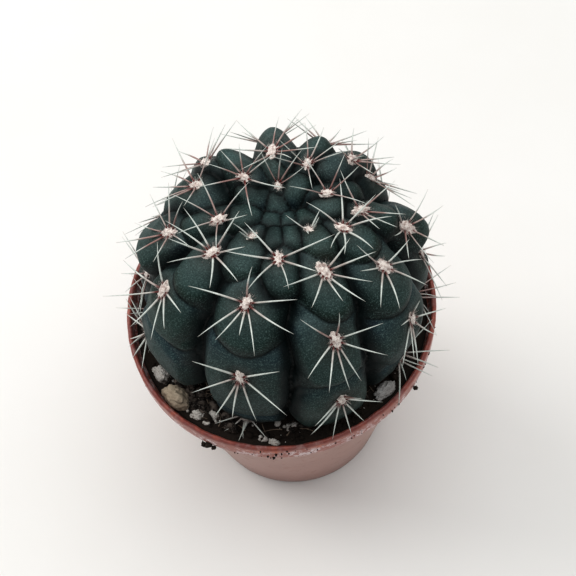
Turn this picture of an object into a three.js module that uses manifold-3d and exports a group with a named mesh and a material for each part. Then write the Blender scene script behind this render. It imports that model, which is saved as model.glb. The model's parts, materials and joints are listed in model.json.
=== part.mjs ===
// A chin cactus in its round plastic pot.
//
// Millimetres, +Z up. The origin is the centre of the pot's underside and -Y is the front.
// The plant is one grown solid: a core, tubercles in ribs, areoles and spines are joined together.
// Soil and loose stones are solids of their own that lie in the pot with a small gap all round.

import * as THREE from 'three';
import { mergeVertices } from 'three/addons/utils/BufferGeometryUtils.js';
import Module from 'manifold-3d';

const wasm = await Module();
wasm.setup();

// ---------------------------------------------------------------- driving dimensions

// The gap between pieces, and how much larger the soil's hollows are than the plant and stones.
const GAP = 0.3;
const SKIN_GROWTH = 0.45;
const STONE_GROWTH = 0.4;

const POT_HEIGHT = 48;
const POT_BASE_RADIUS = 18;
const POT_RIM_RADIUS = 27.5;
const POT_WALL = 0.9;
const POT_FLOOR = 1.2;
const POT_EDGE = 0.4;
const COLLAR_HEIGHT = 5;
const COLLAR_STEP = 1.2;
const POT_SEGMENTS = 48;
const DRAIN_COUNT = 6;
const DRAIN_RADIUS = 2;
const DRAIN_CIRCLE = 12.5;

const SOIL_TOP = 44;
const SOIL_RELIEF = 0.5;

// The plant's axis stands a little to the right of the pot's.
const PLANT_X = 1.2;
const PLANT_Y = 0.0;
const PLANT_LEAN = 0.05;
const BODY_RADIUS = 24.3;
const BODY_WAIST_HEIGHT = 56.5;
const BODY_RISE = 24;
const BODY_DROP = 18;
const BODY_FULLNESS = 2.4;
const CROWN_DIP = 2.6;
const CROWN_DIP_RADIUS = 5;
const CORE_RADIUS = 19.8;
const CORE_RISE = 20;
const CORE_DROP = 16;
const NECK_RADIUS = 18;
const NECK_TOP = 46;
const ROOT_TIP = 20;
const NECK_TAPER = 0.7;

// The skin is sought along rays from the middle, which stand closer together round the crown.
const MIDDLE = new THREE.Vector3(PLANT_X, PLANT_Y, 58);
const FARTHEST_SKIN = 40;
const SKIN_STEP = 0.5;
const SKIN_HALVINGS = 8;
const SKIN_DIVISIONS = 15;
const SKIN_CROWDING = 0.4;

// One row for each rib. turn: where the rib stands, in degrees from the front towards the right.
// lean and foot: how far it swings sideways at the crown and at its lower end. breadth: its share
// of the space between it and its neighbours. reach: how full it is at the waist, as a share of
// the body's radius, which it nears between two polar angles on the shoulder. areoles: the polar
// angle of each areole, from the crown down.
const RIBS = [
  { turn: -22, lean: -70, foot: 0, breadth: 1.3, reach: 1.0, areoles: [12, 35, 72, 119] },
  { turn: -19, lean: 30, foot: 0, breadth: 1.0, reach: 1.0, areoles: [17] },
  { turn: 14, lean: 60, foot: 0, breadth: 1.0, reach: 1.0, areoles: [10, 26, 55, 90] },
  { turn: 53, lean: 40, foot: 0, breadth: 1.2, reach: 1.0, areoles: [20, 43, 76, 109] },
  { turn: 84, lean: 0, foot: 0, breadth: 1.0, reach: 1.0, areoles: [26, 51, 73, 108] },
  { turn: 111, lean: -20, foot: 0, breadth: 1.0, reach: 0.85, areoles: [14, 43, 76, 110] },
  { turn: 128, lean: 0, foot: 0, breadth: 1.0, reach: 0.84, areoles: [34, 68, 102] },
  { turn: 149, lean: 0, foot: 0, breadth: 1.0, reach: 0.84, areoles: [19, 48, 84, 118] },
  { turn: 181, lean: 0, foot: 0, breadth: 1.0, reach: 0.86, areoles: [8, 27, 57, 92] },
  { turn: 218, lean: 0, foot: 0, breadth: 1.0, reach: 0.88, areoles: [17, 42, 78, 112] },
  { turn: 240, lean: 0, foot: 0, breadth: 1.0, reach: 0.92, areoles: [35, 72, 106] },
  { turn: 268, lean: 10, foot: 0, breadth: 1.0, reach: 1.05, areoles: [20, 45, 77, 112] },
  { turn: 289, lean: 35, foot: -6, breadth: 1.8, reach: 1.06, areoles: [27, 58, 92] },
];
const LEAN_LENGTH = 7;
const SHOULDER_START = 25;
const SHOULDER_END = 55;
const FOOT_START = 60;
const FOOT_END = 95;

// Tubercles that differ from the rule, by rib and number from the crown down. shift: to the right,
// back and up. wider and longer: shares of the rule's measures.
const UNLIKE_THE_RULE = [
  { rib: 0, number: 1, shift: [0, 0, 0.5], wider: 1.0, longer: 0.92 },
  { rib: 1, number: 0, shift: [-0.4, 0, 0], wider: 1.08, longer: 1.03 },
  { rib: 2, number: 1, shift: [-0.7, 0, 0], wider: 0.92, longer: 1.0 },
  { rib: 2, number: 2, shift: [-0.4, 0, 0], wider: 0.96, longer: 1.0 },
  { rib: 3, number: 2, shift: [0, 0, 1.2], wider: 1.0, longer: 0.86 },
  { rib: 6, number: 0, shift: [1.6, 0.4, -0.1], wider: 1.0, longer: 1.0 },
  { rib: 7, number: 0, shift: [0.3, 0, 0.2], wider: 0.95, longer: 1.0 },
  { rib: 7, number: 1, shift: [1.2, 0, -1.4], wider: 0.88, longer: 1.0 },
  { rib: 8, number: 1, shift: [0.8, 0.3, 0.9], wider: 0.84, longer: 1.0 },
  { rib: 8, number: 2, shift: [0.6, 0, 0.5], wider: 0.84, longer: 1.0 },
  { rib: 9, number: 0, shift: [-0.2, 0.3, 0.5], wider: 1.0, longer: 1.0 },
  { rib: 11, number: 1, shift: [-0.5, 0, 0], wider: 1.0, longer: 1.0 },
  { rib: 12, number: 2, shift: [0.6, 0.3, 0], wider: 1.0, longer: 1.0 },
];

// The youngest tubercles have no spines yet: the turn and polar angle of each one's middle.
const CROWN_TUBERCLES = [
  [-160, 3],
  [-60, 2.6],
  [35, 2.2],
  [64, 6],
  [-23, 8],
  [12, 7],
  [148, 7],
  [-135, 9],
  [-87, 10],
  [86, 12],
];
const CROWN_TUBERCLE_RADIUS = 1.7;
const CROWN_TUBERCLE_GROWTH = 0.12;

// A tubercle's half measures: across as a share of its room beside its neighbours, along as a
// share of the way to the next areole, and in depth as a share of the smaller of the two.
const TUBERCLE_SQUARENESS = 2.3;
const TUBERCLE_WIDTH = 0.96;
const TUBERCLE_LENGTH = 0.58;
const TUBERCLE_SLIM_LIMIT = 0.68;
const TUBERCLE_WIDTH_LIMIT = 8;
const TUBERCLE_DEPTH = 0.9;
const TUBERCLE_DEPTH_LIMIT = 7.5;
const SHARE_OVER_AREOLE = 0.3;
const CHIN_TILT = 9;
const CHIN_PROUD = 0.5;
const FIRST_STEP = 10;
const STEP_GROWTH = 0.55;
const LAST_STEP = 36;

const AREOLE_LENGTH = 3.0;
const AREOLE_WIDTH = 2.1;
const AREOLE_DEPTH = 1.2;

// Spines of one areole, as on a clock seen from outside: the angle from straight down, the length
// on a full-grown areole and the rise over the skin in degrees. Areoles grow in size between two
// polar angles.
const SPINES = [
  { clock: 4, length: 6.5, rise: 22 },
  { clock: -42, length: 7.0, rise: 20 },
  { clock: 44, length: 7.4, rise: 20 },
  { clock: -84, length: 8.4, rise: 18 },
  { clock: 82, length: 8.0, rise: 18 },
  { clock: 172, length: 5.0, rise: 50 },
];
const SPINE_ROOT_RADIUS = 0.34;
const SPINE_SUNK = 0.8;
const SPINE_CLOCK_SPREAD = 16;
const SPINE_RISE_SPREAD = 12;
const SPINE_LIFT_STEP = 8;
const SPINE_MOST_LIFT = 56;
const SPINE_PROBES = [0.4, 0.7, 1];
const SPINE_CLEARANCE = 1.0;
const YOUNG_SCALE = 0.6;
const YOUNG_ANGLE = 6;
const GROWN_ANGLE = 28;
const RANDOM_SEED = 7;

// Loose stones on the soil. turn and radius: where it lies round the pot's axis. size: its half
// measures along the rim, towards it and upwards. spin: its turn about +Z.
const STONES = [
  { name: 'pebble', turn: -54, radius: 24.2, size: [2.8, 1.6, 2.1], spin: 8, colour: 0xa79274 },
  { name: 'pumice_grain', turn: 42, radius: 24.0, size: [2.2, 1.5, 1.5], spin: -5, colour: 0xb4b4ae },
  { name: 'perlite_1', turn: -67, radius: 24.2, size: [2.0, 1.4, 1.3], spin: 10, colour: 0xc9c6bd },
  { name: 'perlite_2', turn: -43, radius: 24.4, size: [1.3, 1.1, 1.0], spin: 30, colour: 0xc9c6bd },
  { name: 'perlite_3', turn: -37, radius: 22.6, size: [1.1, 0.9, 0.8], spin: 0, colour: 0xc9c6bd },
  { name: 'perlite_4', turn: -1, radius: 22.2, size: [1.4, 0.8, 0.8], spin: 15, colour: 0xc9c6bd },
  { name: 'perlite_5', turn: -9, radius: 24.9, size: [1.1, 0.7, 0.8], spin: -10, colour: 0xc9c6bd },
  { name: 'perlite_6', turn: 172, radius: 24.6, size: [1.4, 1.0, 0.9], spin: 20, colour: 0xc9c6bd },
  { name: 'perlite_7', turn: 224, radius: 24.3, size: [1.2, 1.2, 1.0], spin: 40, colour: 0xc9c6bd },
];
const STONE_SUNK = 0.6;
const STONE_LUMPS = 0.14;

// ---------------------------------------------------------------- small helpers

const radians = THREE.MathUtils.degToRad;

function seededRandom(seed) {
  let state = seed;
  return () => {
    state = (state * 16807) % 2147483647;
    return state / 2147483647;
  };
}

function solidOf(geometry) {
  const bare = geometry.index ? geometry.clone() : mergeVertices(geometry.clone());
  bare.deleteAttribute('normal');
  bare.deleteAttribute('uv');
  const merged = mergeVertices(bare, 1e-5);
  const vertProperties = new Float32Array(merged.attributes.position.array);
  const triVerts = new Uint32Array(merged.index.array);
  return new wasm.Manifold(new wasm.Mesh({ numProp: 3, vertProperties, triVerts }));
}

function joined(solids) {
  return solids.reduce((whole, solid) => whole.add(solid));
}

function meshOf(name, solid, colour, roughness) {
  const { vertProperties, triVerts } = solid.getMesh();
  const geometry = new THREE.BufferGeometry();
  geometry.setAttribute('position', new THREE.BufferAttribute(new Float32Array(vertProperties), 3));
  geometry.setIndex(new THREE.BufferAttribute(new Uint32Array(triVerts), 1));
  geometry.computeVertexNormals();
  const material = new THREE.MeshStandardMaterial({ color: colour, roughness, metalness: 0 });
  const mesh = new THREE.Mesh(geometry, material);
  mesh.name = name;
  return mesh;
}

// A profile of [radius, height] points turned about +Z.
function turned(profile, segments) {
  const points = profile.map(([radius, height]) => new THREE.Vector2(radius, height));
  return new THREE.LatheGeometry(points, segments).rotateX(Math.PI / 2);
}

// ---------------------------------------------------------------- pot

function outerRadius(height) {
  const collarBottom = POT_HEIGHT - COLLAR_HEIGHT;
  const top = POT_RIM_RADIUS - COLLAR_STEP;
  if (height > collarBottom) {
    return POT_RIM_RADIUS;
  }
  return THREE.MathUtils.lerp(POT_BASE_RADIUS, top, height / collarBottom);
}

function innerRadius(height) {
  return outerRadius(height) - POT_WALL;
}

function makePot() {
  const collarBottom = POT_HEIGHT - COLLAR_HEIGHT;
  const underCollar = collarBottom - 0.01;
  const shelf = collarBottom + POT_WALL;
  const profile = [
    [0, 0],
    [POT_BASE_RADIUS - POT_EDGE, 0],
    [POT_BASE_RADIUS, POT_EDGE],
    [outerRadius(underCollar), collarBottom],
    [POT_RIM_RADIUS - POT_EDGE, collarBottom],
    [POT_RIM_RADIUS, POT_HEIGHT - POT_EDGE],
    [POT_RIM_RADIUS - POT_EDGE, POT_HEIGHT],
    [POT_RIM_RADIUS - POT_WALL, POT_HEIGHT],
    [innerRadius(POT_HEIGHT), shelf],
    [innerRadius(underCollar), shelf],
    [innerRadius(POT_FLOOR), POT_FLOOR],
    [0, POT_FLOOR],
  ];
  let pot = solidOf(turned(profile, POT_SEGMENTS));
  for (let index = 0; index < DRAIN_COUNT; index += 1) {
    const angle = (2 * Math.PI * (index + 0.5)) / DRAIN_COUNT;
    const drill = new THREE.CylinderGeometry(DRAIN_RADIUS, DRAIN_RADIUS, 3 * POT_FLOOR, 12);
    drill.rotateX(Math.PI / 2);
    drill.translate(DRAIN_CIRCLE * Math.cos(angle), DRAIN_CIRCLE * Math.sin(angle), POT_FLOOR / 2);
    pot = pot.subtract(solidOf(drill));
  }
  return pot;
}

// ---------------------------------------------------------------- the plant's envelope

// How full the body is at a turn, as a blend of the two ribs on either side.
function reachAt(turn) {
  const fromFirst = (turn - RIBS[0].turn + 720) % 360;
  let index = RIBS.length - 1;
  while ((RIBS[index].turn - RIBS[0].turn + 360) % 360 > fromFirst) {
    index -= 1;
  }
  const before = RIBS[index];
  const after = RIBS[(index + 1) % RIBS.length];
  const start = (before.turn - RIBS[0].turn + 360) % 360;
  const gap = (after.turn - before.turn + 360) % 360;
  return THREE.MathUtils.lerp(before.reach, after.reach, (fromFirst - start) / gap);
}

// The rounded outline that the areoles lie on. angle is the polar angle in degrees, 0 at the crown.
function envelope(angle, turn = 0) {
  const sine = Math.sin(radians(angle));
  const cosine = Math.cos(radians(angle));
  const power = 2 / BODY_FULLNESS;
  const narrowing = THREE.MathUtils.smoothstep(angle, SHOULDER_START, SHOULDER_END);
  const fullness = THREE.MathUtils.lerp(1, reachAt(turn), narrowing);
  const radius = BODY_RADIUS * fullness * Math.abs(sine) ** power;
  const rise = cosine > 0 ? BODY_RISE : -BODY_DROP;
  const dip = CROWN_DIP * Math.exp(-((radius / CROWN_DIP_RADIUS) ** 2));
  return { radius, height: BODY_WAIST_HEIGHT + rise * Math.abs(cosine) ** power - dip };
}

// The plant's axis leans a little to the right.
function axisAt(height) {
  return new THREE.Vector3(PLANT_X + PLANT_LEAN * (height - BODY_WAIST_HEIGHT), PLANT_Y, height);
}

// The envelope's point at a turn and an angle, with its three directions: down the rib, across it
// towards the right, and straight out.
function place(turn, angle) {
  const outward = new THREE.Vector3(Math.sin(radians(turn)), -Math.cos(radians(turn)), 0);
  const across = new THREE.Vector3(Math.cos(radians(turn)), Math.sin(radians(turn)), 0);
  const here = envelope(angle, turn);
  const above = envelope(Math.max(angle - 1, 0.5), turn);
  const below = envelope(angle + 1, turn);
  const down = outward.clone().multiplyScalar(below.radius - above.radius);
  down.z = below.height - above.height;
  down.normalize();
  const out = new THREE.Vector3().crossVectors(down, across);
  const point = axisAt(here.height).addScaledVector(outward, here.radius);
  return { point, down, across, out, radius: here.radius };
}

function arcLength(fromAngle, toAngle) {
  const from = envelope(fromAngle);
  const to = envelope(toAngle);
  return Math.hypot(to.radius - from.radius, to.height - from.height);
}

// ---------------------------------------------------------------- tubercles

function ribTurn(rib, angle) {
  const atCrown = Math.exp(-arcLength(0.5, angle) / LEAN_LENGTH);
  const atFoot = THREE.MathUtils.smoothstep(angle, FOOT_START, FOOT_END);
  return rib.turn + rib.lean * atCrown + rib.foot * atFoot;
}

// How far below its lowest areole a rib would bear the next one.
function stepBelow(angle) {
  return Math.min(FIRST_STEP + STEP_GROWTH * angle, LAST_STEP);
}

// How far down a rib still stands out, as a polar angle.
function ribEnd(rib) {
  const last = rib.areoles[rib.areoles.length - 1];
  return last + (1 - SHARE_OVER_AREOLE) * stepBelow(last);
}

// How far a rib reaches sideways at an angle, up to its share of the way to the next rib that
// is still there. sign is 1 towards the right and -1 towards the left.
function sideReach(rib, angle, sign) {
  const own = ribTurn(rib, angle);
  let nearest = 180;
  let share = 0.5;
  for (const other of RIBS) {
    const apart = (sign * (ribTurn(other, angle) - own) + 720) % 360;
    if (other !== rib && ribEnd(other) > angle && apart < nearest) {
      nearest = apart;
      share = rib.breadth / (rib.breadth + other.breadth);
    }
  }
  return nearest * share;
}

// A tubercle is a squared ball in the directions of its middle, tilted so that its chin, the
// lower end, stands out.
function tubercleAt(turn, angle, width, length, depth, tiltDegrees, proud) {
  const middle = place(turn, angle);
  const tilt = radians(tiltDegrees);
  const down = middle.down.clone().multiplyScalar(Math.cos(tilt));
  down.addScaledVector(middle.out, Math.sin(tilt));
  const out = new THREE.Vector3().crossVectors(down, middle.across);
  const centre = middle.point.clone().addScaledVector(middle.out, proud - depth);
  return { centre, across: middle.across, down, out, width, length, depth };
}

function ribTubercle(rib, angle, step) {
  const top = angle - SHARE_OVER_AREOLE * step;
  const middleAngle = top + step / 2;
  const own = ribTurn(rib, angle);
  const left = sideReach(rib, middleAngle, -1);
  const right = sideReach(rib, middleAngle, 1);
  const length = TUBERCLE_LENGTH * arcLength(top, top + step);
  const radius = envelope((angle + middleAngle) / 2).radius;
  const share = TUBERCLE_WIDTH * radius * Math.sin(radians((left + right) / 2));
  const width = Math.max(Math.min(share, TUBERCLE_WIDTH_LIMIT), TUBERCLE_SLIM_LIMIT * length);
  const depth = TUBERCLE_DEPTH * Math.min(width, length, TUBERCLE_DEPTH_LIMIT);
  const turn = own + (right - left) / 2;
  const tubercle = tubercleAt(turn, middleAngle, width, length, depth, CHIN_TILT, CHIN_PROUD);
  return { ...tubercle, areoleTurn: own, areoleAngle: angle };
}

function crownTubercle([turn, angle]) {
  const radius = CROWN_TUBERCLE_RADIUS + CROWN_TUBERCLE_GROWTH * envelope(angle).radius;
  return tubercleAt(turn, angle, radius, 1.2 * radius, radius, 0, CHIN_PROUD);
}

function ribTubercles(rib) {
  return rib.areoles.map((angle, index) => {
    const next = rib.areoles[index + 1] ?? angle + stepBelow(angle);
    const tubercle = ribTubercle(rib, angle, next - angle);
    const unlike = UNLIKE_THE_RULE.find((one) => RIBS[one.rib] === rib && one.number === index);
    if (unlike) {
      tubercle.centre.add(new THREE.Vector3(...unlike.shift));
      tubercle.width *= unlike.wider;
      tubercle.length *= unlike.longer;
    }
    return tubercle;
  });
}

// ---------------------------------------------------------------- skin

// Below 1 inside a ball whose section is a little squarer than a circle, 1 on its surface.
function squaredSize(x, y, z, power) {
  return Math.abs(x) ** power + Math.abs(y) ** power + Math.abs(z) ** power;
}

function insideTubercle(tubercle, point, grow) {
  const offset = point.clone().sub(tubercle.centre);
  const x = offset.dot(tubercle.across) / (tubercle.width + grow);
  const y = offset.dot(tubercle.down) / (tubercle.length + grow);
  const z = offset.dot(tubercle.out) / (tubercle.depth + grow);
  return squaredSize(x, y, z, TUBERCLE_SQUARENESS) < 1;
}

// The core under the furrows, and the neck that narrows to the root in the soil.
function insideCore(point, grow) {
  const offset = point.clone().sub(axisAt(point.z));
  const turn = THREE.MathUtils.radToDeg(Math.atan2(offset.x, -offset.y));
  const radius = offset.length() / reachAt(turn);
  const rise = point.z > BODY_WAIST_HEIGHT ? CORE_RISE : CORE_DROP;
  const level = (point.z - BODY_WAIST_HEIGHT) / (rise + grow);
  if (squaredSize(radius / (CORE_RADIUS + grow), level, 0, BODY_FULLNESS) < 1) {
    return true;
  }
  const taper = (point.z - ROOT_TIP + grow) / (NECK_TOP - ROOT_TIP);
  return taper > 0 && taper < 1 && radius < NECK_RADIUS * taper ** NECK_TAPER + grow;
}

function insidePlant(point, grow) {
  return insideCore(point, grow) || tubercles.some((one) => insideTubercle(one, point, grow));
}

// How far the skin is from the middle of the plant, in a direction. It is sought from outside
// inwards, so a chin hides what lies behind it.
function skinDistance(direction, grow) {
  const inside = (distance) => insidePlant(MIDDLE.clone().addScaledVector(direction, distance), grow);
  let outer = FARTHEST_SKIN;
  while (!inside(outer - SKIN_STEP)) {
    outer -= SKIN_STEP;
  }
  let inner = outer - SKIN_STEP;
  for (let halving = 0; halving < SKIN_HALVINGS; halving += 1) {
    const half = (inner + outer) / 2;
    if (inside(half)) {
      inner = half;
    } else {
      outer = half;
    }
  }
  return inner;
}

// The whole skin, as an evenly divided ball whose corners are moved out to it.
function skinSolid(grow) {
  const skin = new THREE.IcosahedronGeometry(1, SKIN_DIVISIONS);
  const points = skin.attributes.position;
  for (let index = 0; index < points.count; index += 1) {
    const direction = new THREE.Vector3().fromBufferAttribute(points, index);
    direction.z += SKIN_CROWDING;
    direction.normalize();
    const point = MIDDLE.clone().addScaledVector(direction, skinDistance(direction, grow));
    points.setXYZ(index, point.x, point.y, point.z);
  }
  return solidOf(skin);
}

// ---------------------------------------------------------------- areoles and spines

// Where an areole lies on its tubercle, with the local directions there.
function areoleSeat(tubercle) {
  const { centre, across, down, out, width, length, depth } = tubercle;
  const target = place(tubercle.areoleTurn, tubercle.areoleAngle);
  const offset = target.point.clone().sub(centre);
  const local = new THREE.Vector3(
    offset.dot(across) / width,
    offset.dot(down) / length,
    offset.dot(out) / depth,
  );
  const power = TUBERCLE_SQUARENESS;
  local.multiplyScalar(squaredSize(local.x, local.y, local.z, power) ** (-1 / power));
  const point = centre.clone();
  point.addScaledVector(across, local.x * width);
  point.addScaledVector(down, local.y * length);
  point.addScaledVector(out, local.z * depth);
  const slope = (value) => Math.sign(value) * Math.abs(value) ** (power - 1);
  const normal = new THREE.Vector3();
  normal.addScaledVector(across, slope(local.x) / width);
  normal.addScaledVector(down, slope(local.y) / length);
  normal.addScaledVector(out, slope(local.z) / depth);
  normal.normalize();
  const side = new THREE.Vector3().crossVectors(normal, target.down).normalize();
  const downhill = new THREE.Vector3().crossVectors(side, normal);
  return { point, normal, side, down: downhill };
}

function areoleSolid(seat, scale) {
  const matrix = new THREE.Matrix4().makeBasis(
    seat.side.clone().multiplyScalar((scale * AREOLE_WIDTH) / 2),
    seat.normal.clone().multiplyScalar(scale * AREOLE_DEPTH),
    seat.down.clone().multiplyScalar((scale * AREOLE_LENGTH) / 2),
  );
  matrix.setPosition(seat.point);
  return solidOf(new THREE.SphereGeometry(1, 5, 2).applyMatrix4(matrix));
}

// The lowest that a spine's tip may lie over a spot of the soil and the stones on it.
function lowestTip(x, y) {
  let ground = SOIL_TOP + 2 * SOIL_RELIEF;
  for (const stone of STONES) {
    const centre = stoneCentre(stone);
    const near = Math.max(...stone.size) + SPINE_CLEARANCE;
    if (Math.hypot(x - centre.x, y - centre.y) < near) {
      ground = Math.max(ground, centre.z + 1.2 * stone.size[2]);
    }
  }
  return ground + SPINE_CLEARANCE;
}

// A tip that would enter the soil, a stone or the pot's wall is lifted clear, and kept inside the
// wall where it can't pass over the rim.
function clearTip(root, tip) {
  const wall = innerRadius(POT_HEIGHT) - SPINE_CLEARANCE;
  const overRim = POT_HEIGHT + SPINE_CLEARANCE;
  const clear = tip.clone();
  if (Math.hypot(tip.x, tip.y) > wall && tip.z < overRim) {
    if (root.z > overRim) {
      clear.z = overRim;
    } else {
      const reach = new THREE.Vector2(tip.x, tip.y);
      reach.setLength(wall);
      clear.set(reach.x, reach.y, tip.z);
    }
  }
  clear.z = Math.max(clear.z, lowestTip(clear.x, clear.y));
  return clear;
}

function spineSolid(root, tip) {
  const along = tip.clone().sub(root);
  const length = along.length();
  const spine = new THREE.ConeGeometry(SPINE_ROOT_RADIUS, length, 3);
  spine.translate(0, length / 2, 0);
  const turn = new THREE.Quaternion().setFromUnitVectors(new THREE.Vector3(0, 1, 0), along.normalize());
  spine.applyQuaternion(turn);
  spine.translate(root.x, root.y, root.z);
  return solidOf(spine);
}

// One spine from its root on the areole. It rises more steeply where it would otherwise run into
// the next tubercle.
function spineOf(seat, flat, rise, reach, spread) {
  const skin = seat.point.clone().addScaledVector(flat, spread);
  let tip = skin;
  for (let steeper = 0; steeper <= SPINE_MOST_LIFT; steeper += SPINE_LIFT_STEP) {
    const lift = radians(rise + steeper);
    const heading = flat.clone().multiplyScalar(Math.cos(lift));
    heading.addScaledVector(seat.normal, Math.sin(lift));
    tip = clearTip(skin, skin.clone().addScaledVector(heading, reach));
    const free = SPINE_PROBES.every((share) => !insidePlant(skin.clone().lerp(tip, share), GAP));
    if (free) {
      break;
    }
  }
  const root = skin.clone().addScaledVector(seat.normal, -SPINE_SUNK);
  return spineSolid(root, tip);
}

function spinesOf(seat, scale, random) {
  return SPINES.map(({ clock, length, rise }) => {
    const angle = radians(clock + SPINE_CLOCK_SPREAD * (random() - 0.5));
    const unevenRise = rise + SPINE_RISE_SPREAD * (random() - 0.5);
    const reach = scale * length * (0.9 + 0.2 * random());
    const flat = seat.down.clone().multiplyScalar(Math.cos(angle));
    flat.addScaledVector(seat.side, Math.sin(angle));
    return spineOf(seat, flat, unevenRise, reach, 0.3 * scale * AREOLE_LENGTH);
  });
}

// ---------------------------------------------------------------- soil and stones

function soilHeight(x, y) {
  const broad = Math.sin(0.55 * x + 1.3) * Math.cos(0.5 * y);
  const fine = Math.sin(1.7 * x - 0.9 * y) * Math.sin(1.4 * y + 0.7 * x);
  return SOIL_TOP + SOIL_RELIEF * (0.6 * broad + 0.4 * fine);
}

function makeSoil() {
  const bottom = POT_FLOOR + GAP;
  const edge = outerRadius(POT_HEIGHT - COLLAR_HEIGHT) - POT_WALL - GAP;
  const profile = [
    [0, bottom],
    [innerRadius(bottom) - GAP, bottom],
    [edge, SOIL_TOP - 2 * SOIL_RELIEF],
    [edge, SOIL_TOP],
    [24, SOIL_TOP],
    [22.5, SOIL_TOP],
    [21, SOIL_TOP],
    [19.5, SOIL_TOP],
    [17, SOIL_TOP],
    [0, SOIL_TOP],
  ];
  const shape = turned(profile, POT_SEGMENTS);
  const points = shape.attributes.position;
  for (let index = 0; index < points.count; index += 1) {
    if (points.getZ(index) > SOIL_TOP - SOIL_RELIEF) {
      points.setZ(index, soilHeight(points.getX(index), points.getY(index)));
    }
  }
  let soil = solidOf(shape).subtract(skinSolid(SKIN_GROWTH));
  STONES.forEach((stone, index) => {
    soil = soil.subtract(stoneSolid(stone, index, STONE_GROWTH));
  });
  return soil;
}

function stoneCentre(stone) {
  const turn = radians(stone.turn);
  const x = stone.radius * Math.sin(turn);
  const y = -stone.radius * Math.cos(turn);
  return new THREE.Vector3(x, y, SOIL_TOP + STONE_SUNK * stone.size[2]);
}

// A lumpy pebble, lying a little sunk in the soil.
function stoneSolid(stone, number, grow) {
  const shape = new THREE.IcosahedronGeometry(1, 2);
  const points = shape.attributes.position;
  const [along, towards, upwards] = stone.size.map((half) => half + grow);
  for (let index = 0; index < points.count; index += 1) {
    const point = new THREE.Vector3().fromBufferAttribute(points, index);
    const sideways = Math.sin(2.6 * point.x + number) * Math.cos(2.2 * point.y - number);
    const upright = Math.sin(3 * point.z);
    point.multiplyScalar(1 + (STONE_LUMPS * (sideways + upright)) / 2);
    points.setXYZ(index, point.x * along, point.y * towards, point.z * upwards);
  }
  const centre = stoneCentre(stone);
  shape.rotateZ(radians(stone.turn + stone.spin));
  shape.translate(centre.x, centre.y, centre.z);
  return solidOf(shape);
}

// ---------------------------------------------------------------- the whole object

const spinyTubercles = RIBS.flatMap(ribTubercles);
const tubercles = [...spinyTubercles, ...CROWN_TUBERCLES.map(crownTubercle)];

function makeCactus() {
  const random = seededRandom(RANDOM_SEED);
  const pieces = [skinSolid(0)];
  for (const tubercle of spinyTubercles) {
    const seat = areoleSeat(tubercle);
    const age = THREE.MathUtils.smoothstep(tubercle.areoleAngle, YOUNG_ANGLE, GROWN_ANGLE);
    const scale = THREE.MathUtils.lerp(YOUNG_SCALE, 1, age);
    pieces.push(joined([areoleSolid(seat, scale), ...spinesOf(seat, scale, random)]));
  }
  return joined(pieces);
}

const cactus = new THREE.Group();
cactus.add(meshOf('cactus', makeCactus(), 0x2f4242, 0.65));
cactus.add(meshOf('pot', makePot(), 0x9c4a38, 0.5));
cactus.add(meshOf('soil', makeSoil(), 0x1e1712, 0.95));
STONES.forEach((stone, index) => {
  cactus.add(meshOf(stone.name, stoneSolid(stone, index, 0), stone.colour, 0.85));
});

export default cactus;
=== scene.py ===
# %% [markdown]
# # A chin cactus in its small plastic pot
#
# A chin cactus is a round, dark green plant with broad ribs. Each rib is cut into lobes with a
# swelling, the chin, under every areole, the woolly cushion that bears the spines. This lesson
# builds the plant, its areoles, its spines, the pot, the soil and the loose stones around a
# packed engineering model, so every place below is in the model's frame: Z up, -Y the front.

import json
import math
from itertools import product

import bmesh
import bpy
import numpy as np
from mathutils import Matrix, Vector
from mathutils import noise as soft_noise
from mathutils.bvhtree import BVHTree

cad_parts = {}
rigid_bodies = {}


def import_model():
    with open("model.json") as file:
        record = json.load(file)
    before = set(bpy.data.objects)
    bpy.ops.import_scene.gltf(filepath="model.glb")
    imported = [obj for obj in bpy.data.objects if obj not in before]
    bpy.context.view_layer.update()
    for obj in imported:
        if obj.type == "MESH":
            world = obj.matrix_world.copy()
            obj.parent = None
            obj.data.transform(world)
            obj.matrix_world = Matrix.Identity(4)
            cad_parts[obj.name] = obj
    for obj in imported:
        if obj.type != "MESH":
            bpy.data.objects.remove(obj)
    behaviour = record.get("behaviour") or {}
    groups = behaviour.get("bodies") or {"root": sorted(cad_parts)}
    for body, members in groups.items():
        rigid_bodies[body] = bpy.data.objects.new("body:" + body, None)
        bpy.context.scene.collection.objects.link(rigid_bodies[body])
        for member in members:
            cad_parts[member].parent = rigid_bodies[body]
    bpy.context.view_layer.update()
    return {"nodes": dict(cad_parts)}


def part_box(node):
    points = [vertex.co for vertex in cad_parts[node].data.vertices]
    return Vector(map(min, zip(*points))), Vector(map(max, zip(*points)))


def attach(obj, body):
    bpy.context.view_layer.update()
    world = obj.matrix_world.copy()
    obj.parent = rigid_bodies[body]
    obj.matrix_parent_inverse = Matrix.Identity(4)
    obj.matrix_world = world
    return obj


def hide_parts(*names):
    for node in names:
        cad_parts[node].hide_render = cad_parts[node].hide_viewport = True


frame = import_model()
MM = 0.001
print("nodes:", sorted(frame["nodes"]))

# %% [markdown]
# ## Working habits
#
# Blender's operators act on all that is selected, so each piece starts from an empty selection.
# A few small helpers keep that promise: one clears the selection, one puts a modifier on a piece
# and applies it at once, and one joins copies into a piece. Others copy a mould with its own
# mesh, move corners as arrays, and hand a finished piece over to its body, hiding the parts it
# replaces.

# %% Helpers for selecting, modifying and joining
def clear_selection():
    if bpy.context.mode != "OBJECT":
        bpy.ops.object.mode_set(mode="OBJECT")
    bpy.ops.object.select_all(action="DESELECT")


def pick(piece):
    clear_selection()
    piece.select_set(True)
    bpy.context.view_layer.objects.active = piece


def modify(piece, kind, **settings):
    pick(piece)
    modifier = piece.modifiers.new(kind.lower(), kind)
    for name, value in settings.items():
        setattr(modifier, name, value)
    bpy.ops.object.modifier_apply(modifier=modifier.name)


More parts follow.
